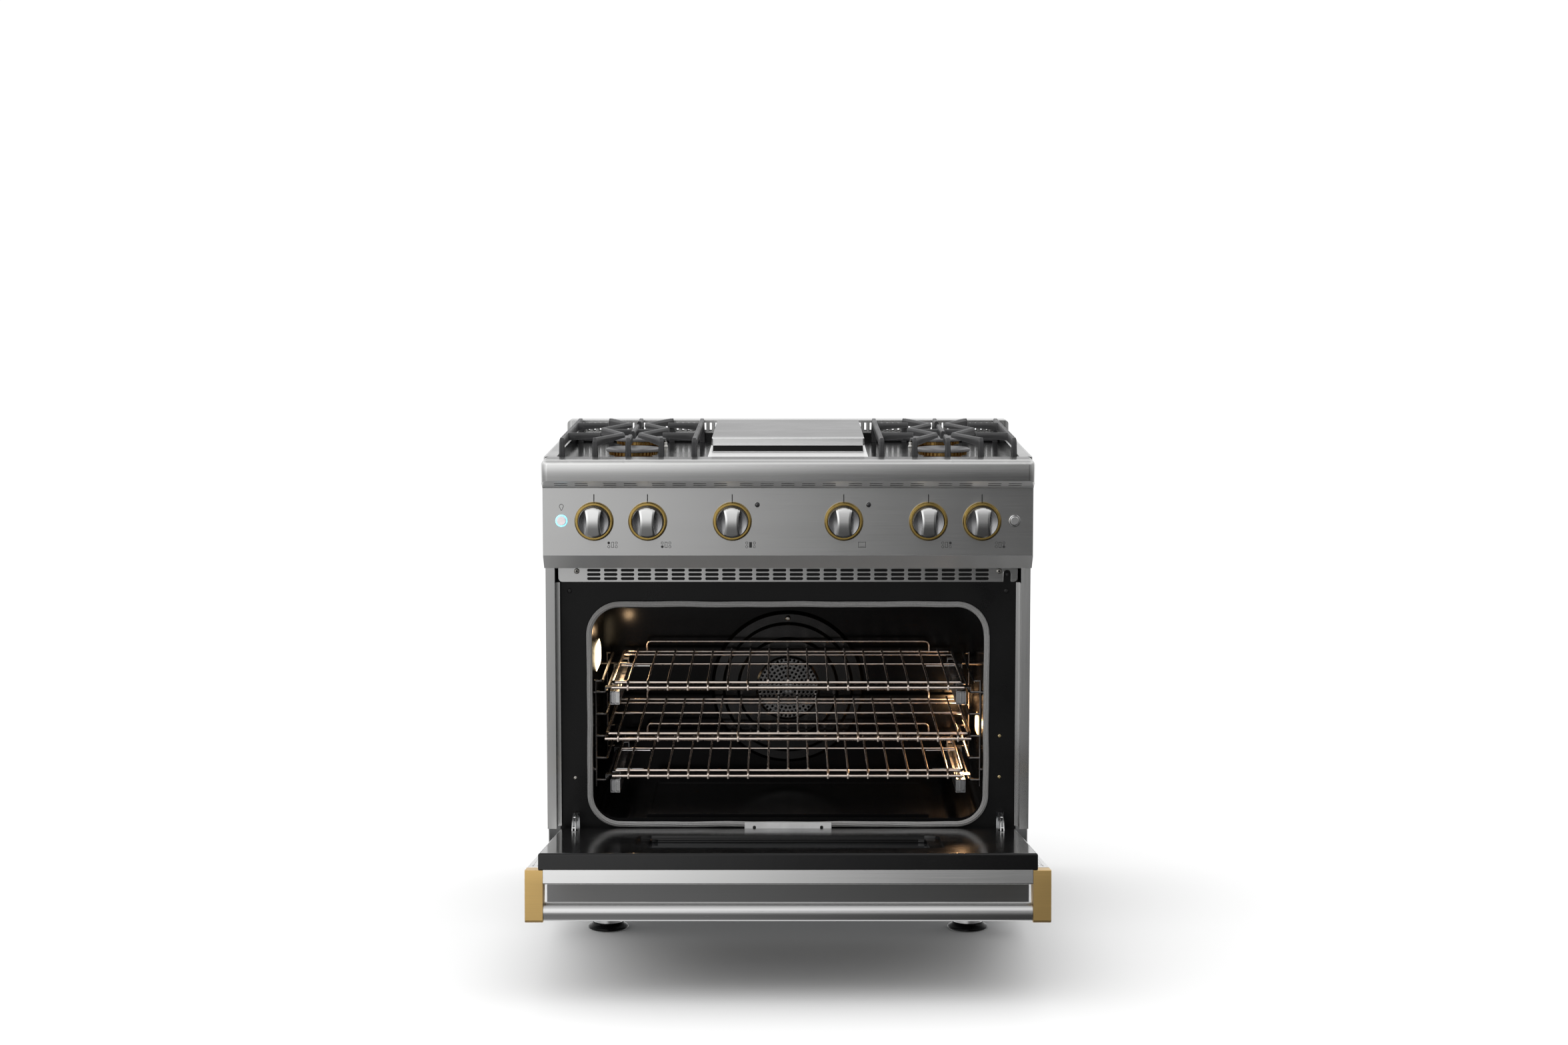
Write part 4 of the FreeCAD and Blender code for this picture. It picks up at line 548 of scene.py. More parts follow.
def facing(direction):
    """A rotation that takes +Z to a direction."""
    return Vector(direction).to_track_quat("Z", "Y").to_matrix().to_4x4()


def circle(work, radius, height, steps, place):
    """A ring of points about the Z axis of a place."""
    ring = []
    for step in range(steps):
        a = 2 * math.pi * step / steps
        ring.append(work.verts.new(place @ Vector((radius * math.cos(a), radius * math.sin(a), height))))
    return ring


def join_loops(work, low, high):
    """Faces between two closed loops of as many points, or between a loop and a single point."""
    count = max(len(low), len(high))
    for i in range(count if count > 1 else 0):
        k = (i + 1) % count
        if len(low) == 1:
            work.faces.new((low[0], high[i], high[k]))
        elif len(high) == 1:
            work.faces.new((low[i], low[k], high[0]))
        else:
            work.faces.new((low[i], low[k], high[k], high[i]))


def fill_grid(work, grid):
    """Faces between the rows of a grid of points."""
    for here, there in zip(grid, grid[1:]):
        for c in range(len(here) - 1):
            work.faces.new((here[c], here[c + 1], there[c + 1], there[c]))


def lathe(work, profile, centre, direction=ALONG_Z, steps=64):
    """Turn (radius, height) points about an axis through centre; closed where the radius is 0."""
    turn = Matrix.Translation(centre) @ facing(direction)
    rings = []
    for radius, height in profile:
        rings.append(circle(work, radius, height, steps if radius > 0 else 1, turn))
    for low, high in zip(rings, rings[1:]):
        join_loops(work, low, high)


def prism(work, points, depth, place=Matrix.Identity(4)):
    """A closed flat outline (x, y) pushed from z = 0 to z = depth, then placed."""
    low = [work.verts.new(place @ Vector((x, y, 0))) for x, y in points]
    high = [work.verts.new(place @ Vector((x, y, depth))) for x, y in points]
    work.faces.new(low[::-1])
    work.faces.new(high)
    for i in range(len(points)):
        k = (i + 1) % len(points)
        work.faces.new((low[i], low[k], high[k], high[i]))


def in_mm(*points):
    """Points given in millimetres, as metres."""
    return [(x * MM, y * MM) for x, y in points]


def rounded_rectangle(wide, high, radius, steps=6):
    points = []
    corners = ((1, 1, 0), (-1, 1, 90), (-1, -1, 180), (1, -1, 270))
    for sx, sy, start in corners:
        for step in range(steps + 1):
            a = math.radians(start + 90 * step / steps)
            x = sx * (wide / 2 - radius) + radius * math.cos(a)
            y = sy * (high / 2 - radius) + radius * math.sin(a)
            points.append((x, y))
    return points


def slab(work, low, high, radius):
    """A box between two corners, its corners rounded as seen from the front."""
    low, high = Vector(low), Vector(high)
    centre = (low + high) / 2
    span = high - low
    place = Matrix.Translation((centre.x, high.y, centre.z)) @ Matrix.Rotation(math.pi / 2, 4, "X")
    prism(work, rounded_rectangle(span.x, span.z, radius), span.y, place)


def ring_band(work, inner, outer, depth, place, steps=32):
    """A flat washer, from z = 0 to z = depth, then placed."""
    rows = []
    for radius, height in ((inner, 0), (outer, 0), (outer, depth), (inner, depth)):
        rows.append(circle(work, radius, height, steps, place))
    for here, there in zip(rows, rows[1:] + rows[:1]):
        join_loops(work, here, there)


def tube(work, points, radius, sides=10):
    """A round wire through points, with flat ends."""
    rings = []
    path = [Vector(p) for p in points]
    for i, point in enumerate(path):
        before = path[max(i - 1, 0)]
        after = path[min(i + 1, len(path) - 1)]
        place = Matrix.Translation(point) @ facing((after - before).normalized())
        rings.append(circle(work, radius, 0, sides, place))
    for low, high in zip(rings, rings[1:]):
        join_loops(work, low, high)
    work.faces.new(rings[0][::-1])
    work.faces.new(rings[-1])


# ---------------------------------------------------------------- CAD nodes
def dress_nodes():
    """Materials and soft edges for the CAD nodes that stay visible."""
    looks = {
        "steel_x": ("vent_grille", "island_trim"),
        "panel": ("control_panel",),
        "skin": ("door_skin",),
        "cover": ("griddle_cover",),
        "sill_plate": ("hearth_plate",),
        "ledge": ("landing_ledge",),
        "steel_in_shade": ("kick_panel",),
        "steel_z": ("side_panel_left", "side_panel_right", "leg_sleeves"),
        "galvanised": ("rear_panel", "base_pan", "gas_manifold"),
        "black_satin": ("front_frame",),
        "oven": ("oven_cavity", "cavity_floor_panel", "oven_burners"),
        "black": ("door_liner",),
        "baffle": ("fan_baffle",),
        "guide": ("rack_guides",),
        "zinc": ("glide_rails", "glide_runners_upper", "glide_runners_lower", "glide_cages_upper",
                 "glide_cages_lower", "fan_wheel"),
        "nylon": ("fan_motor", "power_gland"),
        "rack": ("rack_upper", "rack_middle", "rack_lower"),
        "glass": ("door_glass",),
        "handle": ("door_handle",),
        "gold": ("handle_brackets",),
        "bright": ("hinge_arms",),
        "gold_ring": ("knob_bezels",),
        "lamp_black": ("indicator_lamps",),
        "steel_bright": ("button_fan",),
        "led_cap": ("button_light",),
        "cooktop": ("cooktop_pan",),
        "griddle": ("griddle_plate",),
        "grate": ("grate_left", "grate_right"),
        "die_cast": ("gas_inlet",),
        "lens_left": ("oven_light_lenses",),
    }
    edges = {"grate_left": 1.1 * MM, "grate_right": 1.1 * MM, "door_skin": 0.5 * MM, "kick_panel": 0.4 * MM,
             "handle_brackets": 0.0, "griddle_cover": 0.5 * MM, "rack_upper": 0.0, "rack_middle": 0.0,
             "rack_lower": 0.0, "rack_guides": 0.0, "fan_baffle": 0.2 * MM, "landing_ledge": 0.15 * MM,
             "hinge_arms": 0.2 * MM, "indicator_lamps": 0.0, "door_liner": 0.8 * MM, "door_handle": 0.3 * MM}
    for look, names in looks.items():
        for name in names:
            thing = NODES[name]
            thing.data.materials.clear()
            thing.data.materials.append(LOOKS[look])
            custom = thing.data.attributes.get("custom_normal")
            if custom:
                thing.data.attributes.remove(custom)
            width = edges.get(name, 0.3 * MM)
            soften(thing, width, 2, 32, weld=True)


# ---------------------------------------------------------------- control panel
PANEL_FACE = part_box("control_panel")[0].y
KNOB_PLACES = ("rear_left", "front_left", "griddle", "oven", "rear_right", "front_right")
KNOBS = ["knob_" + place for place in KNOB_PLACES]


def knob(name):
    """A knob: a turned skirt, two dished sides and a crowned grip bar between them."""
    low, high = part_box(name)
    centre = Vector((middle(name).x, 0, (low.z + high.z) / 2))
    radius = (high.z - low.z) / 2
    foot = PANEL_FACE - 1.2 * MM
    nose = low.y + 0.1 * MM
    dish = nose + 15 * MM
    work = bmesh.new()
    profile = [(0, 0), (radius - 1.5 * MM, 0), (radius - 0.5 * MM, 0.5 * MM), (radius - 0.1 * MM, 1.5 * MM),
               (radius - 0.1 * MM, foot - dish + 1.0 * MM), (radius - 0.8 * MM, foot - dish + 1.9 * MM),
               (radius - 2.2 * MM, foot - dish + 1.6 * MM), (radius * 0.55, foot - dish - 1.5 * MM),
               (0, foot - dish - 2.0 * MM)]
    lathe(work, profile, Vector((centre.x, foot, centre.z)), FRONT, 72)
    # the skirt and dished sides take the darker steel: painted shade in the recesses
    settle(name + "_skirt", work, name + "_body", "knob_side", [name])

    work = bmesh.new()
    long = radius - 1.0 * MM
    rows, columns = 28, 12
    waist, flare, crown = 11.9 * MM, 4.6 * MM, 5.5 * MM
    grid = []
    for r in range(rows + 1):
        t = -1 + 2 * r / rows
        line = []
        for c in range(columns + 1):
            u = -1 + 2 * c / columns
            half = waist + flare * t * t
            x = u * half
            z = t * long
            reach = math.hypot(x, z)
            if reach > long:
                x, z = x * long / reach, z * long / reach
            edge = max(abs(u) - 0.88, 0) / 0.12
            tip = max(reach / long - 0.93, 0) / 0.07
            y = nose + crown * t * t + 0.35 * MM * edge ** 2 + 0.4 * MM * min(tip, 1) ** 2
            line.append(work.verts.new((centre.x + x, y, centre.z + z)))
        grid.append(line)
    fill_grid(work, grid)
    rim = [e for e in work.edges if e.is_boundary]
    made = bmesh.ops.extrude_edge_only(work, edges=rim)
    back = foot - 2 * MM
    for v in made["geom"]:
        if isinstance(v, bmesh.types.BMVert):
            v.co.y = back
    bmesh.ops.holes_fill(work, edges=[e for e in work.edges if e.is_boundary])
    bmesh.ops.remove_doubles(work, verts=work.verts, dist=0.00002)
    settle(name + "_grip", work, name + "_body", "knob")


def mark_place(x, z):
    """Where a printed mark starts on the panel's face, drawn towards the front."""
    turn = Matrix(((1, 0, 0, 0), (0, 0, -1, 0), (0, 1, 0, 0), (0, 0, 0, 1)))
    return Matrix.Translation((x, PANEL_FACE, z)) @ turn


def mark(work, points, x, z):
    """A printed mark on the panel's face: a thin prism of its outline."""
    prism(work, points, 0.12 * MM, mark_place(x, z))


def mark_frame(work, wide, high, pen, radius, x, z):
    """A printed rectangle, as four strokes."""
    for side in (-1, 1):
        mark(work, rounded_rectangle(pen, high, radius, 1), x + side * (wide - pen) / 2, z)
        mark(work, rounded_rectangle(wide, pen, radius, 1), x, z + side * (high - pen) / 2)


def burner_icon(work, x, z, active):
    """Four circles round an upright rectangle, with the burner that the knob works filled in."""
    pen = 0.75 * MM
    for number, (sx, sz) in enumerate(((-1, 1), (-1, -1), (1, 1), (1, -1))):
        place = mark_place(x + sx * 7.0 * MM, z + sz * 3.5 * MM)
        inner = 0.05 * MM if number == active else 2.5 * MM - pen
        ring_band(work, inner, 2.5 * MM, 0.12 * MM, place, 24)
    wide, high = 5.0 * MM, 10.6 * MM
    if active == "griddle":
        mark(work, rounded_rectangle(wide, high, 0.4 * MM, 2), x, z)
    else:
        mark_frame(work, wide, high, pen, 0.1 * MM, x, z)


def oven_icon(work, x, z):
    """A square oven outline with a short bar inside its top edge."""
    pen = 0.7 * MM
    wide, high = 14 * MM, 11 * MM
    mark_frame(work, wide, high, pen, 0.2 * MM, x, z)
    mark(work, rounded_rectangle(wide * 0.7, pen, 0.2 * MM, 1), x, z - 3.4 * MM)


def bulb_icon(work, x, z):
    """A small outline of a lamp bulb."""
    steps = 20
    outer = []
    for step in range(steps + 1):
        a = math.radians(-50 + 280 * step / steps)
        outer.append(Vector((math.cos(a), math.sin(a))))
    big, small = 4.2 * MM, 3.3 * MM
    for here, there in zip(outer, outer[1:]):
        mark(work, [here * small, there * small, there * big, here * big], x, z + 2 * MM)
    for side in (-1, 1):
        leg = [(side * 1.0 * MM, -6.2 * MM), (side * 1.8 * MM, -6.2 * MM),
               (side * 3.1 * MM, -3.0 * MM), (side * 2.2 * MM, -2.7 * MM)]
        mark(work, leg[::side], x, z + 2 * MM)
    mark(work, rounded_rectangle(3.0 * MM, 1.3 * MM, 0.3 * MM, 2), x, z - 5 * MM)


def panel_print():
    """All the printed marks: a tick over each knob, a burner icon beside it, and the lamp's icon."""
    work = bmesh.new()
    active = [0, 1, "griddle", None, 2, 3]
    for name, burner in zip(KNOBS, active):
        centre = middle(name)
        tick = rounded_rectangle(1.9 * MM, 14 * MM, 0.6 * MM, 3)
        mark(work, tick, centre.x, centre.z + 43.5 * MM)
        x, z = centre.x + 34 * MM, centre.z - 44 * MM
        if name == "knob_oven":
            oven_icon(work, x, z)
        else:
            burner_icon(work, x, z, burner)
    light = middle("button_light")
    bulb_icon(work, light.x, light.z + 25 * MM)
    settle("panel_print", work, BODY, "print")


def ledge_shade():
    """A dark strip inside the ledge, just behind the slots in its underside: painted shade that darkens what
    shows through the slots.
    """
    low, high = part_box("landing_ledge")
    front = Vector((low.y + 5.0 * MM, low.z + 19.0 * MM))
    back = Vector((PANEL_FACE + 3.0 * MM, low.z + 4.6 * MM))
    up = Vector((0, 1 * MM))
    work = bmesh.new()
    across = Matrix(((0, 0, 1, low.x + 14 * MM), (1, 0, 0, 0), (0, 1, 0, 0), (0, 0, 0, 1)))
    prism(work, [front, back, back + up, front + up], high.x - low.x - 28 * MM, across)
    settle("ledge_inner_shade", work, BODY, "shade")


def button_rings():
    """The collar round each push button: one lit, one plain steel."""
    inner, outer = 9.1 * MM, 11.2 * MM
    for name, look, slot in (
            ("button_light", "led", "button_light"),
            ("button_fan", "bright", "button_steel")):
        centre = middle(name)
        work = bmesh.new()
        place = Vector((centre.x, PANEL_FACE - 0.05 * MM, centre.z))
        profile = [(inner, 0), (outer, 0), (outer, 1.0 * MM), (outer - 0.8 * MM, 2.0 * MM),
                   (inner + 0.3 * MM, 2.2 * MM), (inner, 1.8 * MM), (inner, 0)]
        lathe(work, profile, place, FRONT, 48)
        settle(name + "_collar", work, BODY, look)


# ---------------------------------------------------------------- oven mouth
def gasket():
    """The rope gasket: ridged strands that twist along a rounded rectangle, with slight sags."""
    low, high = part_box("oven_gasket")
    radius = (high.y - low.y) / 2
    corner = 57 * MM
    half_x = (high.x - low.x) / 2 - radius
    half_z = (high.z - low.z) / 2 - radius
    centre = (low + high) / 2
    route = []
    straight = 0.003
    for sx, sz, start in ((1, 1, 0), (-1, 1, 90), (-1, -1, 180), (1, -1, 270)):
        turn = Vector((sx * (half_x - corner), 0, sz * (half_z - corner)))
        for step in range(31):
            a = math.radians(start + 90 * step / 30)
            route.append(turn + corner * Vector((math.cos(a), 0, math.sin(a))))
    dense = []
    for here, there in zip(route, route[1:] + route[:1]):
        count = max(1, int((there - here).length / straight))
        for step in range(count):
            dense.append(here.lerp(there, step / count))
    strands, sides = 9, 54
    work = bmesh.new()
    rings = []
    total = len(dense)
    for i, point in enumerate(dense):
        way = (dense[(i + 1) % total] - dense[i - 1]).normalized()
        out = way.cross(ALONG_Y).normalized()
        share = i / total
        sway = 0.35 * MM * math.sin(share * 62) + 0.25 * MM * math.sin(share * 131 + 1)
        base = centre + point + out * sway
        ring = []
        for s in range(sides):
            a = 2 * math.pi * s / sides
            ridge = 0.07 * math.cos(strands * (a + share * 12))
            r = radius * (0.89 + ridge)
            ring.append(work.verts.new(base + out * (r * math.cos(a)) + ALONG_Y * (r * math.sin(a))))
        rings.append(ring)
    for here, there in zip(rings, rings[1:] + rings[:1]):
        join_loops(work, here, there)
    settle("gasket_rope", work, BODY, "rope", ["oven_gasket"])


def screw_head(work, centre, radius, tall, direction=FRONT):
    """A low round head with a socket in its middle."""
    profile = [(0, tall * 0.35), (radius * 0.36, tall * 0.35), (radius * 0.42, tall * 0.98),
               (radius * 0.62, tall), (radius * 0.88, tall * 0.72), (radius, tall * 0.3), (radius, 0), (0, 0)]
    lathe(work, profile, centre, direction, 28)


def screws():
    """The screws that the photograph of such a range shows on its frame, grille and sill plate."""
    frame_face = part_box("front_frame")[0].y
    grille_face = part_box("vent_grille")[0].y
    plate_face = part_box("hearth_plate")[0].y
    groups = {
        "screw_black": [(-413, 655, 4.5, frame_face), (413, 655, 4.5, frame_face),
                        (-64, 202.5, 3.2, plate_face), (64, 202.5, 3.2, plate_face)],
        "screw_brass": [(402, 377, 3.5, frame_face), (402, 298, 3.5, frame_face)],
        "screw": [(-405, 296, 3.5, frame_face), (-399, 693, 5.3, grille_face), (399, 693, 5.3, grille_face)],
    }
    first = True
    for look, places in groups.items():
        work = bmesh.new()
        for x, z, radius, face in places:
            tall = 0.25 * MM if face == plate_face else 1.6 * MM
            screw_head(work, Vector((x * MM, face - 0.02 * MM, z * MM)), radius * MM, tall)
        replaced = ["frame_screws"] if first else ()
        if look == "screw_black":
            for x in (-399, 399):
                centre = Vector((x * MM, grille_face - 1.15 * MM, 693 * MM))
                lathe(work, in_mm((0, 0), (2.4, 0), (2.2, 0.55), (0, 0.5)), centre, FRONT, 20)
        settle("screws_" + look, work, BODY, look, replaced)
        first = False
    work = bmesh.new()
    fan = middle("fan_baffle")
    screw_head(work, Vector((0, 160.5 * MM, fan.z + 142 * MM)), 5 * MM, 2.5 * MM)
    settle("baffle_screw", work, BODY, "screw")


def door_switch():
    """The switch plunger in the notch of the vent grille, with its bright rim."""
    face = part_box("front_frame")[0].y
    x, z = 414 * MM, 687 * MM
    work = bmesh.new()
    lathe(work, in_mm((0, 0), (3.6, 0), (3.6, 2.6), (2.6, 3.8), (0, 4.2)),
          Vector((x, face - 0.05 * MM, z)), FRONT, 32)
    settle("door_switch", work, BODY, "nylon")
    work = bmesh.new()
    reach, rim_face = 7.2 * MM, face - 1.6 * MM
    route = [(x + reach, rim_face, z - 13 * MM)]
    for step in range(17):
        a = math.radians(180 * step / 16)
        route.append((x + reach * math.cos(a), rim_face, z + 1 * MM + reach * math.sin(a)))
    route.append((x - reach, rim_face, z - 13 * MM))
    tube(work, route, 0.45 * MM, 8)
    settle("door_switch_rim", work, BODY, "bright")


def glide_ends():
    """A bright folded end on each gliding rail, with a grey stop in its middle."""
    for level_node, body in (("glide_runners_upper", "upper_rack"), ("glide_runners_lower", "lower_rack")):
        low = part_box(level_node)[0]
        frames = bmesh.new()
        stops = bmesh.new()
        rail_low, rail_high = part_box("glide_cages_upper" if body == "upper_rack" else "glide_cages_lower")
        z_low, z_high = rail_low.z - 2 * MM, rail_high.z + 2 * MM
        for side in (-1, 1):
            inner, outer = 320.2 * MM, 329.0 * MM
            x = sorted((side * inner, side * outer))
            slab(stops, (x[0] + 1.2 * MM, low.y - 0.4 * MM, z_low + 3 * MM),
                 (x[1] - 0.6 * MM, low.y + 6 * MM, z_high - 3 * MM), 1.5 * MM)
            for z in (z_low + 0.2 * MM, z_high - 1.6 * MM):
                slab(frames, (x[0], low.y - 2.2 * MM, z), (x[1], low.y, z + 1.4 * MM), 0.5 * MM)
            for edge in (x[0], x[1] - 1.2 * MM):
                slab(frames, (edge, low.y - 1.8 * MM, z_low + 1.2 * MM),
                     (edge + 1.2 * MM, low.y, z_high - 1.2 * MM), 0.4 * MM)
        settle(body + "_glide_frames", frames, body, "bright", (), 0.15 * MM)
        settle(body + "_glide_stops", stops, body, "bright", (), 0.3 * MM)


def rack_details():
    """Weld beads on the ends of each rack's short middle wires, and the clips on its glides."""
    pitch = 38 * MM
    for level_name, short in (("upper", 3), ("middle", 4), ("lower", 3)):
        name, body = "rack_" + level_name, level_name + "_rack"
        low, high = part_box(name)
        level = low.z + (7.5 + 6.6) * MM
        front = low.y + 24.4 * MM
        work = bmesh.new()
        for step in range(short):
            x = (step - (short - 1) / 2) * pitch
            bead = in_mm((0, 0), (1.6, 0.6), (2.3, 2.0), (1.6, 3.6), (0, 4.2))
            lathe(work, bead, Vector((x, front, level + 1.0 * MM)), FRONT, 16)
        settle(name + "_beads", work, body, "bright")
        if name == "rack_middle":
            continue
        work = bmesh.new()
        for side in (-1, 1):
            for y, reach in ((-0.215, 42), (-0.02, 46)):
                start = Vector((side * (high.x - 6 * MM), y, level - 7.0 * MM))
                bend = start + Vector((-side * 10 * MM, 0, 0))
                route = [start, bend, bend + Vector((-side * reach * MM, -2 * MM, 0))]
                tube(work, route, 1.6 * MM, 10)
        settle(name + "_clips", work, body, "bright")


def lamp_lenses():
    """Two lit lamp lenses with ribbed faces."""
    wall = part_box("oven_light_lenses")[1].x
    # each lens is (side, low z, high z, depth, half length, look): the left one is higher and brighter
    for side, z_low, z_high, deep, half_long, look in (
            (-1, 0.465, 0.518, 4.5 * MM, 45 * MM, "lens_left"),
            (1, 0.332, 0.372, 4.0 * MM, 32 * MM, "lens_right")):
        work = bmesh.new()
        rows, columns = 10, 30
        centre_z, half_tall = (z_low + z_high) / 2, (z_high - z_low) / 2
        grid = []
        for r in range(rows + 1):
            v = -1 + 2 * r / rows
            line = []
            for c in range(columns + 1):
                u = -1 + 2 * c / columns
                dome = (1 - abs(u) ** 6) * (1 - abs(v) ** 4)
                rib = 0.35 * MM * math.cos(u * math.pi * 9)
                x = side * (wall - deep * dome + rib * dome)
                line.append(work.verts.new((x, u * half_long, centre_z + v * half_tall)))
            grid.append(line)
        fill_grid(work, grid)
        rim = [e for e in work.edges if e.is_boundary]
        bmesh.ops.holes_fill(work, edges=rim)
        name = "lens_left" if side < 0 else "lens_right"
        settle(name, work, BODY, look, ["oven_light_lenses"])


# ---------------------------------------------------------------- cooktop
def burner_places():
    """The middles of the four burners, from the caps' own box."""
    low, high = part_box("burner_caps")
    radius = 52.5 * MM
    return [(x, y) for x in (low.x + radius, high.x - radius) for y in (low.y + radius, high.y - radius)]


def burners():
    """Brass heads with a crown of flame ports, grey caps with a soft dish, and their igniters."""
    base_low, base_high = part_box("burner_bases")
    cap_low, cap_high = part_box("burner_caps")
    heads, caps, pins, tips = bmesh.new(), bmesh.new(), bmesh.new(), bmesh.new()
    tall = base_high.z - base_low.z
    cap_tall = cap_high.z - cap_low.z
    for x, y in burner_places():
        lathe(heads, [(0, 0), (38 * MM, 0), (38 * MM, 2 * MM), (34 * MM, 5.2 * MM), (43 * MM, 6.0 * MM),
                      (43 * MM, tall), (0, tall)], Vector((x, y, base_low.z)), ALONG_Z, 72)
        for step in range(36):
            a = 2 * math.pi * step / 36
            place = Matrix.Translation((x, y, base_low.z + 6.2 * MM)) @ Matrix.Rotation(a, 4, "Z")
            tooth = in_mm((42, -2.4), (46.3, -1.9), (46.3, 1.9), (42, 2.4))
            prism(heads, tooth, tall - 6.4 * MM, place)
        lathe(caps, [(0, 0), (51.5 * MM, 0), (52.4 * MM, 1.0 * MM), (52.4 * MM, 3.2 * MM),
                     (51.2 * MM, 5.2 * MM), (48.5 * MM, 6.5 * MM),
                     (42 * MM, cap_tall - 0.1 * MM), (33 * MM, cap_tall - 0.5 * MM),
                     (28 * MM, cap_tall - 1.5 * MM), (0, cap_tall - 1.9 * MM)],
              Vector((x, y, cap_low.z)), ALONG_Z, 72)
        out = Vector((math.copysign(1, -x), -0.35, 0)).normalized() * 55.5 * MM
        foot = Vector((x, y, base_low.z + 0.1 * MM)) + out
        lathe(pins, in_mm((0, 0), (4.2, 0), (4.2, 3), (2.9, 4), (2.9, 10.5), (0, 10.8)), foot, ALONG_Z, 20)
        lathe(tips, in_mm((0, 0), (1.0, 0), (1.0, 3.4), (0, 4.0)),
              foot + Vector((0, 0, 10.5 * MM)), ALONG_Z, 12)
    settle("burner_heads", heads, BODY, "brass", ["burner_bases"], 0.2 * MM)
    settle("burner_cap_castings", caps, BODY, "cap", ["burner_caps"])
    settle("igniter_bodies", pins, BODY, "ceramic", (), 0.2 * MM)
    settle("igniter_tips", tips, BODY, "bright")


# ---------------------------------------------------------------- feet
def feet():
    """Each foot: a black flared pad with a lip, and a turned steel collar."""
    for place in ("front_left", "front_right", "rear_left", "rear_right"):
        name = "foot_" + place
        low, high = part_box(name)
        centre = Vector(((low.x + high.x) / 2, (low.y + high.y) / 2, low.z))
        wide = (high.x - low.x) / 2
        body = name + "_body"
        work = bmesh.new()
        lathe(work, [(0, 0), (wide - 1.5 * MM, 0), (wide - 0.2 * MM, 1.2 * MM), (wide, 3.0 * MM),
                     (wide - 0.8 * MM, 4.8 * MM), (wide - 3.0 * MM, 6.2 * MM), (wide - 5.5 * MM, 7.6 * MM),
                     (wide - 8.0 * MM, 10 * MM), (wide - 9.2 * MM, 13 * MM), (wide - 10.5 * MM, 13.4 * MM),
                     (0, 13.4 * MM)], centre, ALONG_Z, 72)
        settle(name + "_pad", work, body, "rubber", [name])
        stem = 28.5 * MM
        work = bmesh.new()
        lathe(work, [(0, 13.2 * MM), (stem - 0.4 * MM, 13.2 * MM), (stem, 13.7 * MM), (stem, 27 * MM),
                     (stem - 1.4 * MM, 27.6 * MM), (stem - 1.4 * MM, 29.8 * MM), (stem, 30.4 * MM),
                     (stem, 35.6 * MM), (stem - 0.4 * MM, 36 * MM), (stem - 4.1 * MM, 36 * MM),
                     (stem - 4.1 * MM, 79 * MM), (0, 79 * MM)], centre, ALONG_Z, 72)
        settle(name + "_collar", work, body, "collar", [name])


# ---------------------------------------------------------------- back and sides
def back_details():
    """Screws round the rear panel and along the side panels' rear edges."""
    low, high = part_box("rear_panel")
    work = bmesh.new()
    for x in (low.x + 12 * MM, high.x - 12 * MM):
        for step in range(6):
            z = low.z + 20 * MM + step * (high.z - low.z - 40 * MM) / 5
            screw_head(work, Vector((x, high.y - 0.02 * MM, z)), 4 * MM, 1.8 * MM, ALONG_Y)
    for step in range(1, 6):
        x = low.x + step * (high.x - low.x) / 6
        for z in (low.z + 12 * MM, high.z - 12 * MM):
            screw_head(work, Vector((x, high.y - 0.02 * MM, z)), 4 * MM, 1.8 * MM, ALONG_Y)
    settle("rear_screws", work, BODY, "screw")


# ---------------------------------------------------------------- studio
def sky_levels(g, axis, stops):
    """Brightness from one part of a ray's direction, through a colour ramp with its own stops."""
    ramp = g.add("ShaderNodeValToRGB")
    ramp.color_ramp.interpolation = "B_SPLINE"
    g.feed(ramp.inputs["Fac"], g.spread(axis, 0, 1, -1, 1))
    elements = ramp.color_ramp.elements
    while len(elements) < len(stops):
        elements.new(0.5)
    for element, (part, level) in zip(elements, stops):
        element.position = (part + 1) / 2
        element.color = (level, level, level, 1)
    return ramp.outputs["Color"]


def sky():
    """White behind the object; for its light and reflections, a soft box on the left and dusk below."""
    world = bpy.data.worlds.new("studio")
    bpy.context.scene.world = world
    world.use_nodes = True
    g = Tree(world.node_tree)
    g.nodes.clear()
    split = g.add("ShaderNodeSeparateXYZ")
    g.feed(split.inputs[0], g.add("ShaderNodeTexCoord").outputs["Generated"])
    height = sky_levels(g, split.outputs["Z"], (
        (-1.0, 0.20), (-0.35, 0.12), (-0.17, 0.40), (-0.06, 0.64), (0.08, 1.0), (0.50, 1.0), (1.0, 1.0)))
    aside = sky_levels(g, split.outputs["X"], (
        (-1.0, 0.45), (-0.45, 0.90), (-0.12, 1.0), (-0.03, 0.62), (0.02, 0.18), (0.10, 0.03), (0.45, 0.14),
        (1.0, 0.32)))
    above = sky_levels(g, split.outputs["Z"], (
        (-1.0, 0.40), (0.20, 0.50), (0.36, 0.80), (0.62, 0.80), (0.85, 0.42), (1.0, 0.34)))
    front = g.add("ShaderNodeMix", data_type="RGBA", blend_type="MULTIPLY")
    for socket, value in ((0, 1.0), (6, height), (7, aside)):
        g.feed(front.inputs[socket], value)
    overhead = g.spread(split.outputs["Z"], 0, 1, 0.30, 0.75)
    behind = g.spread(split.outputs["Y"], 0, 1, 0.2, 0.7)
    rear = g.mixed(behind, g.mixed(overhead, front.outputs[2], above), (0.55, 0.55, 0.55))
    choose = g.add("ShaderNodeMixShader")
    g.feed(choose.inputs["Fac"], g.add("ShaderNodeLightPath").outputs["Is Camera Ray"])
    for socket, colour, strength in ((1, rear, 1.8), (2, (1, 1, 1, 1), 1.05)):
        light = g.add("ShaderNodeBackground")
        g.feed(light.inputs["Color"], colour)
        g.feed(light.inputs["Strength"], strength)
        g.feed(choose.inputs[socket], light.outputs[0])
    g.feed(g.add("ShaderNodeOutputWorld").inputs["Surface"], choose.outputs[0])


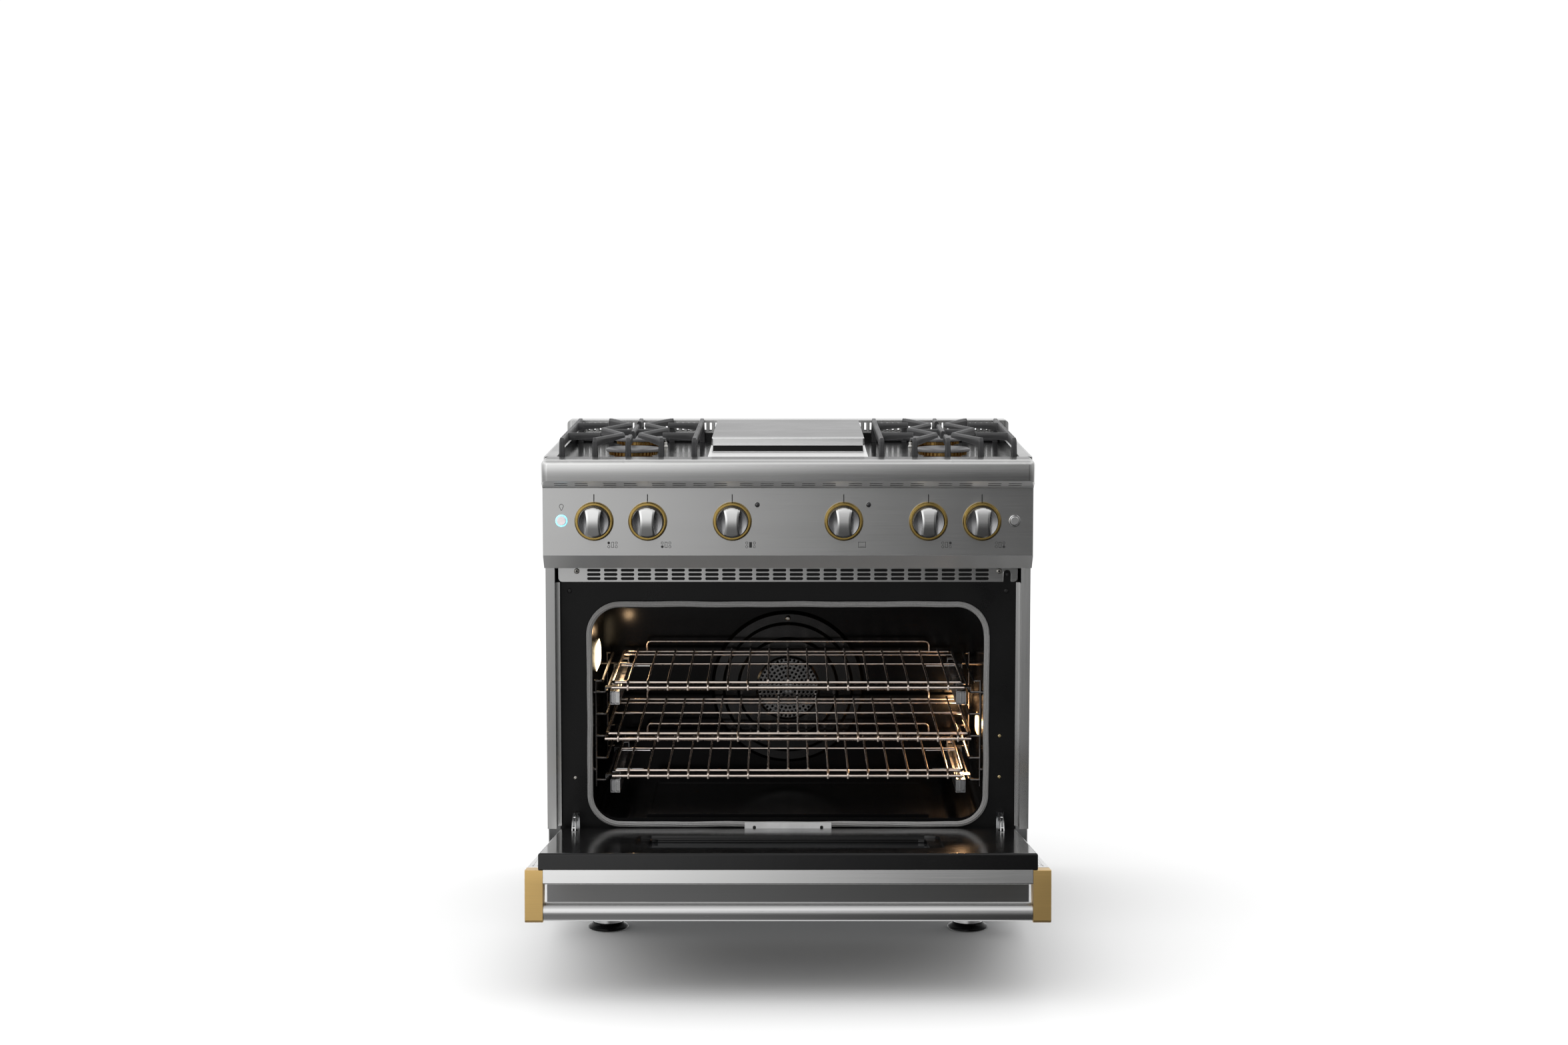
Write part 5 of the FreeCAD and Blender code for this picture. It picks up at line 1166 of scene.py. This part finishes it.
def studio_floor():
    """A plain pale disc, just large enough for the soft shadow."""
    g = Graph("studio_floor", (0.70, 0.70, 0.70), 0.0, 0.8)
    g.shader.inputs["Specular IOR Level"].default_value = 0.0
    mottle = g.noise(1.5, None, 2, 0.5)
    g.tint(mottle, (0.695, 0.695, 0.695), (0.705, 0.705, 0.705))
    work = bmesh.new()
    bmesh.ops.create_circle(work, cap_ends=True, segments=128, radius=1.9)
    floor = from_bmesh("studio_floor", work)
    floor.data.materials.append(g.material)
    floor.location = (0, 0.15, -0.0005)
    floor.visible_glossy = False


def key_light():
    """A very broad light overhead, a little to the left."""
    lamp = bpy.data.lights.new("key", "SUN")
    lamp.energy = 2.4
    lamp.angle = math.radians(100)
    thing = bpy.data.objects.new("key", lamp)
    thing.rotation_euler = (math.radians(3), math.radians(-14), 0)
    thing.visible_glossy = False
    bpy.context.scene.collection.objects.link(thing)


def studio():
    bpy.context.scene.view_settings.view_transform = "Standard"
    sky()
    studio_floor()
    key_light()


def oven_lamps():
    """Two small warm lamps inside the oven, just off the two lenses."""
    low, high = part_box("oven_light_lenses")
    for name, place, power, colour in (
            ("lamp_left", (low.x + 46 * MM, 0.060, 0.532), 0.16, (1.0, 0.66, 0.36)),
            ("lamp_right", (high.x - 30 * MM, 0.0, 0.352), 0.9, (1.0, 0.56, 0.26))):
        lamp = bpy.data.lights.new(name, "POINT")
        lamp.shadow_soft_size = 9 * MM
        lamp.energy = power
        lamp.color = colour
        thing = bpy.data.objects.new(name, lamp)
        thing.location = place
        thing.visible_camera = False
        bpy.context.scene.collection.objects.link(thing)
        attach(thing, BODY)


def camera():
    """In front of the range, 1.4 m up and 5.9 m from its middle, looking slightly down."""
    lens = bpy.data.cameras.new("camera")
    lens.sensor_width = 36.0
    lens.lens = 68.33
    lens.shift_x = -0.00255
    thing = bpy.data.objects.new("camera", lens)
    thing.location = (0, -5.855, 1.381)
    thing.rotation_euler = (math.radians(90 - 6.092), 0, 0)
    bpy.context.scene.collection.objects.link(thing)
    bpy.context.scene.camera = thing


# ---------------------------------------------------------------- build
LOOKS = make_materials()
camera()
studio()
dress_nodes()
for knob_name in KNOBS:
    knob(knob_name)
panel_print()
ledge_shade()
button_rings()
gasket()
screws()
door_switch()
glide_ends()
rack_details()
lamp_lenses()
oven_lamps()
burners()
feet()
back_details()
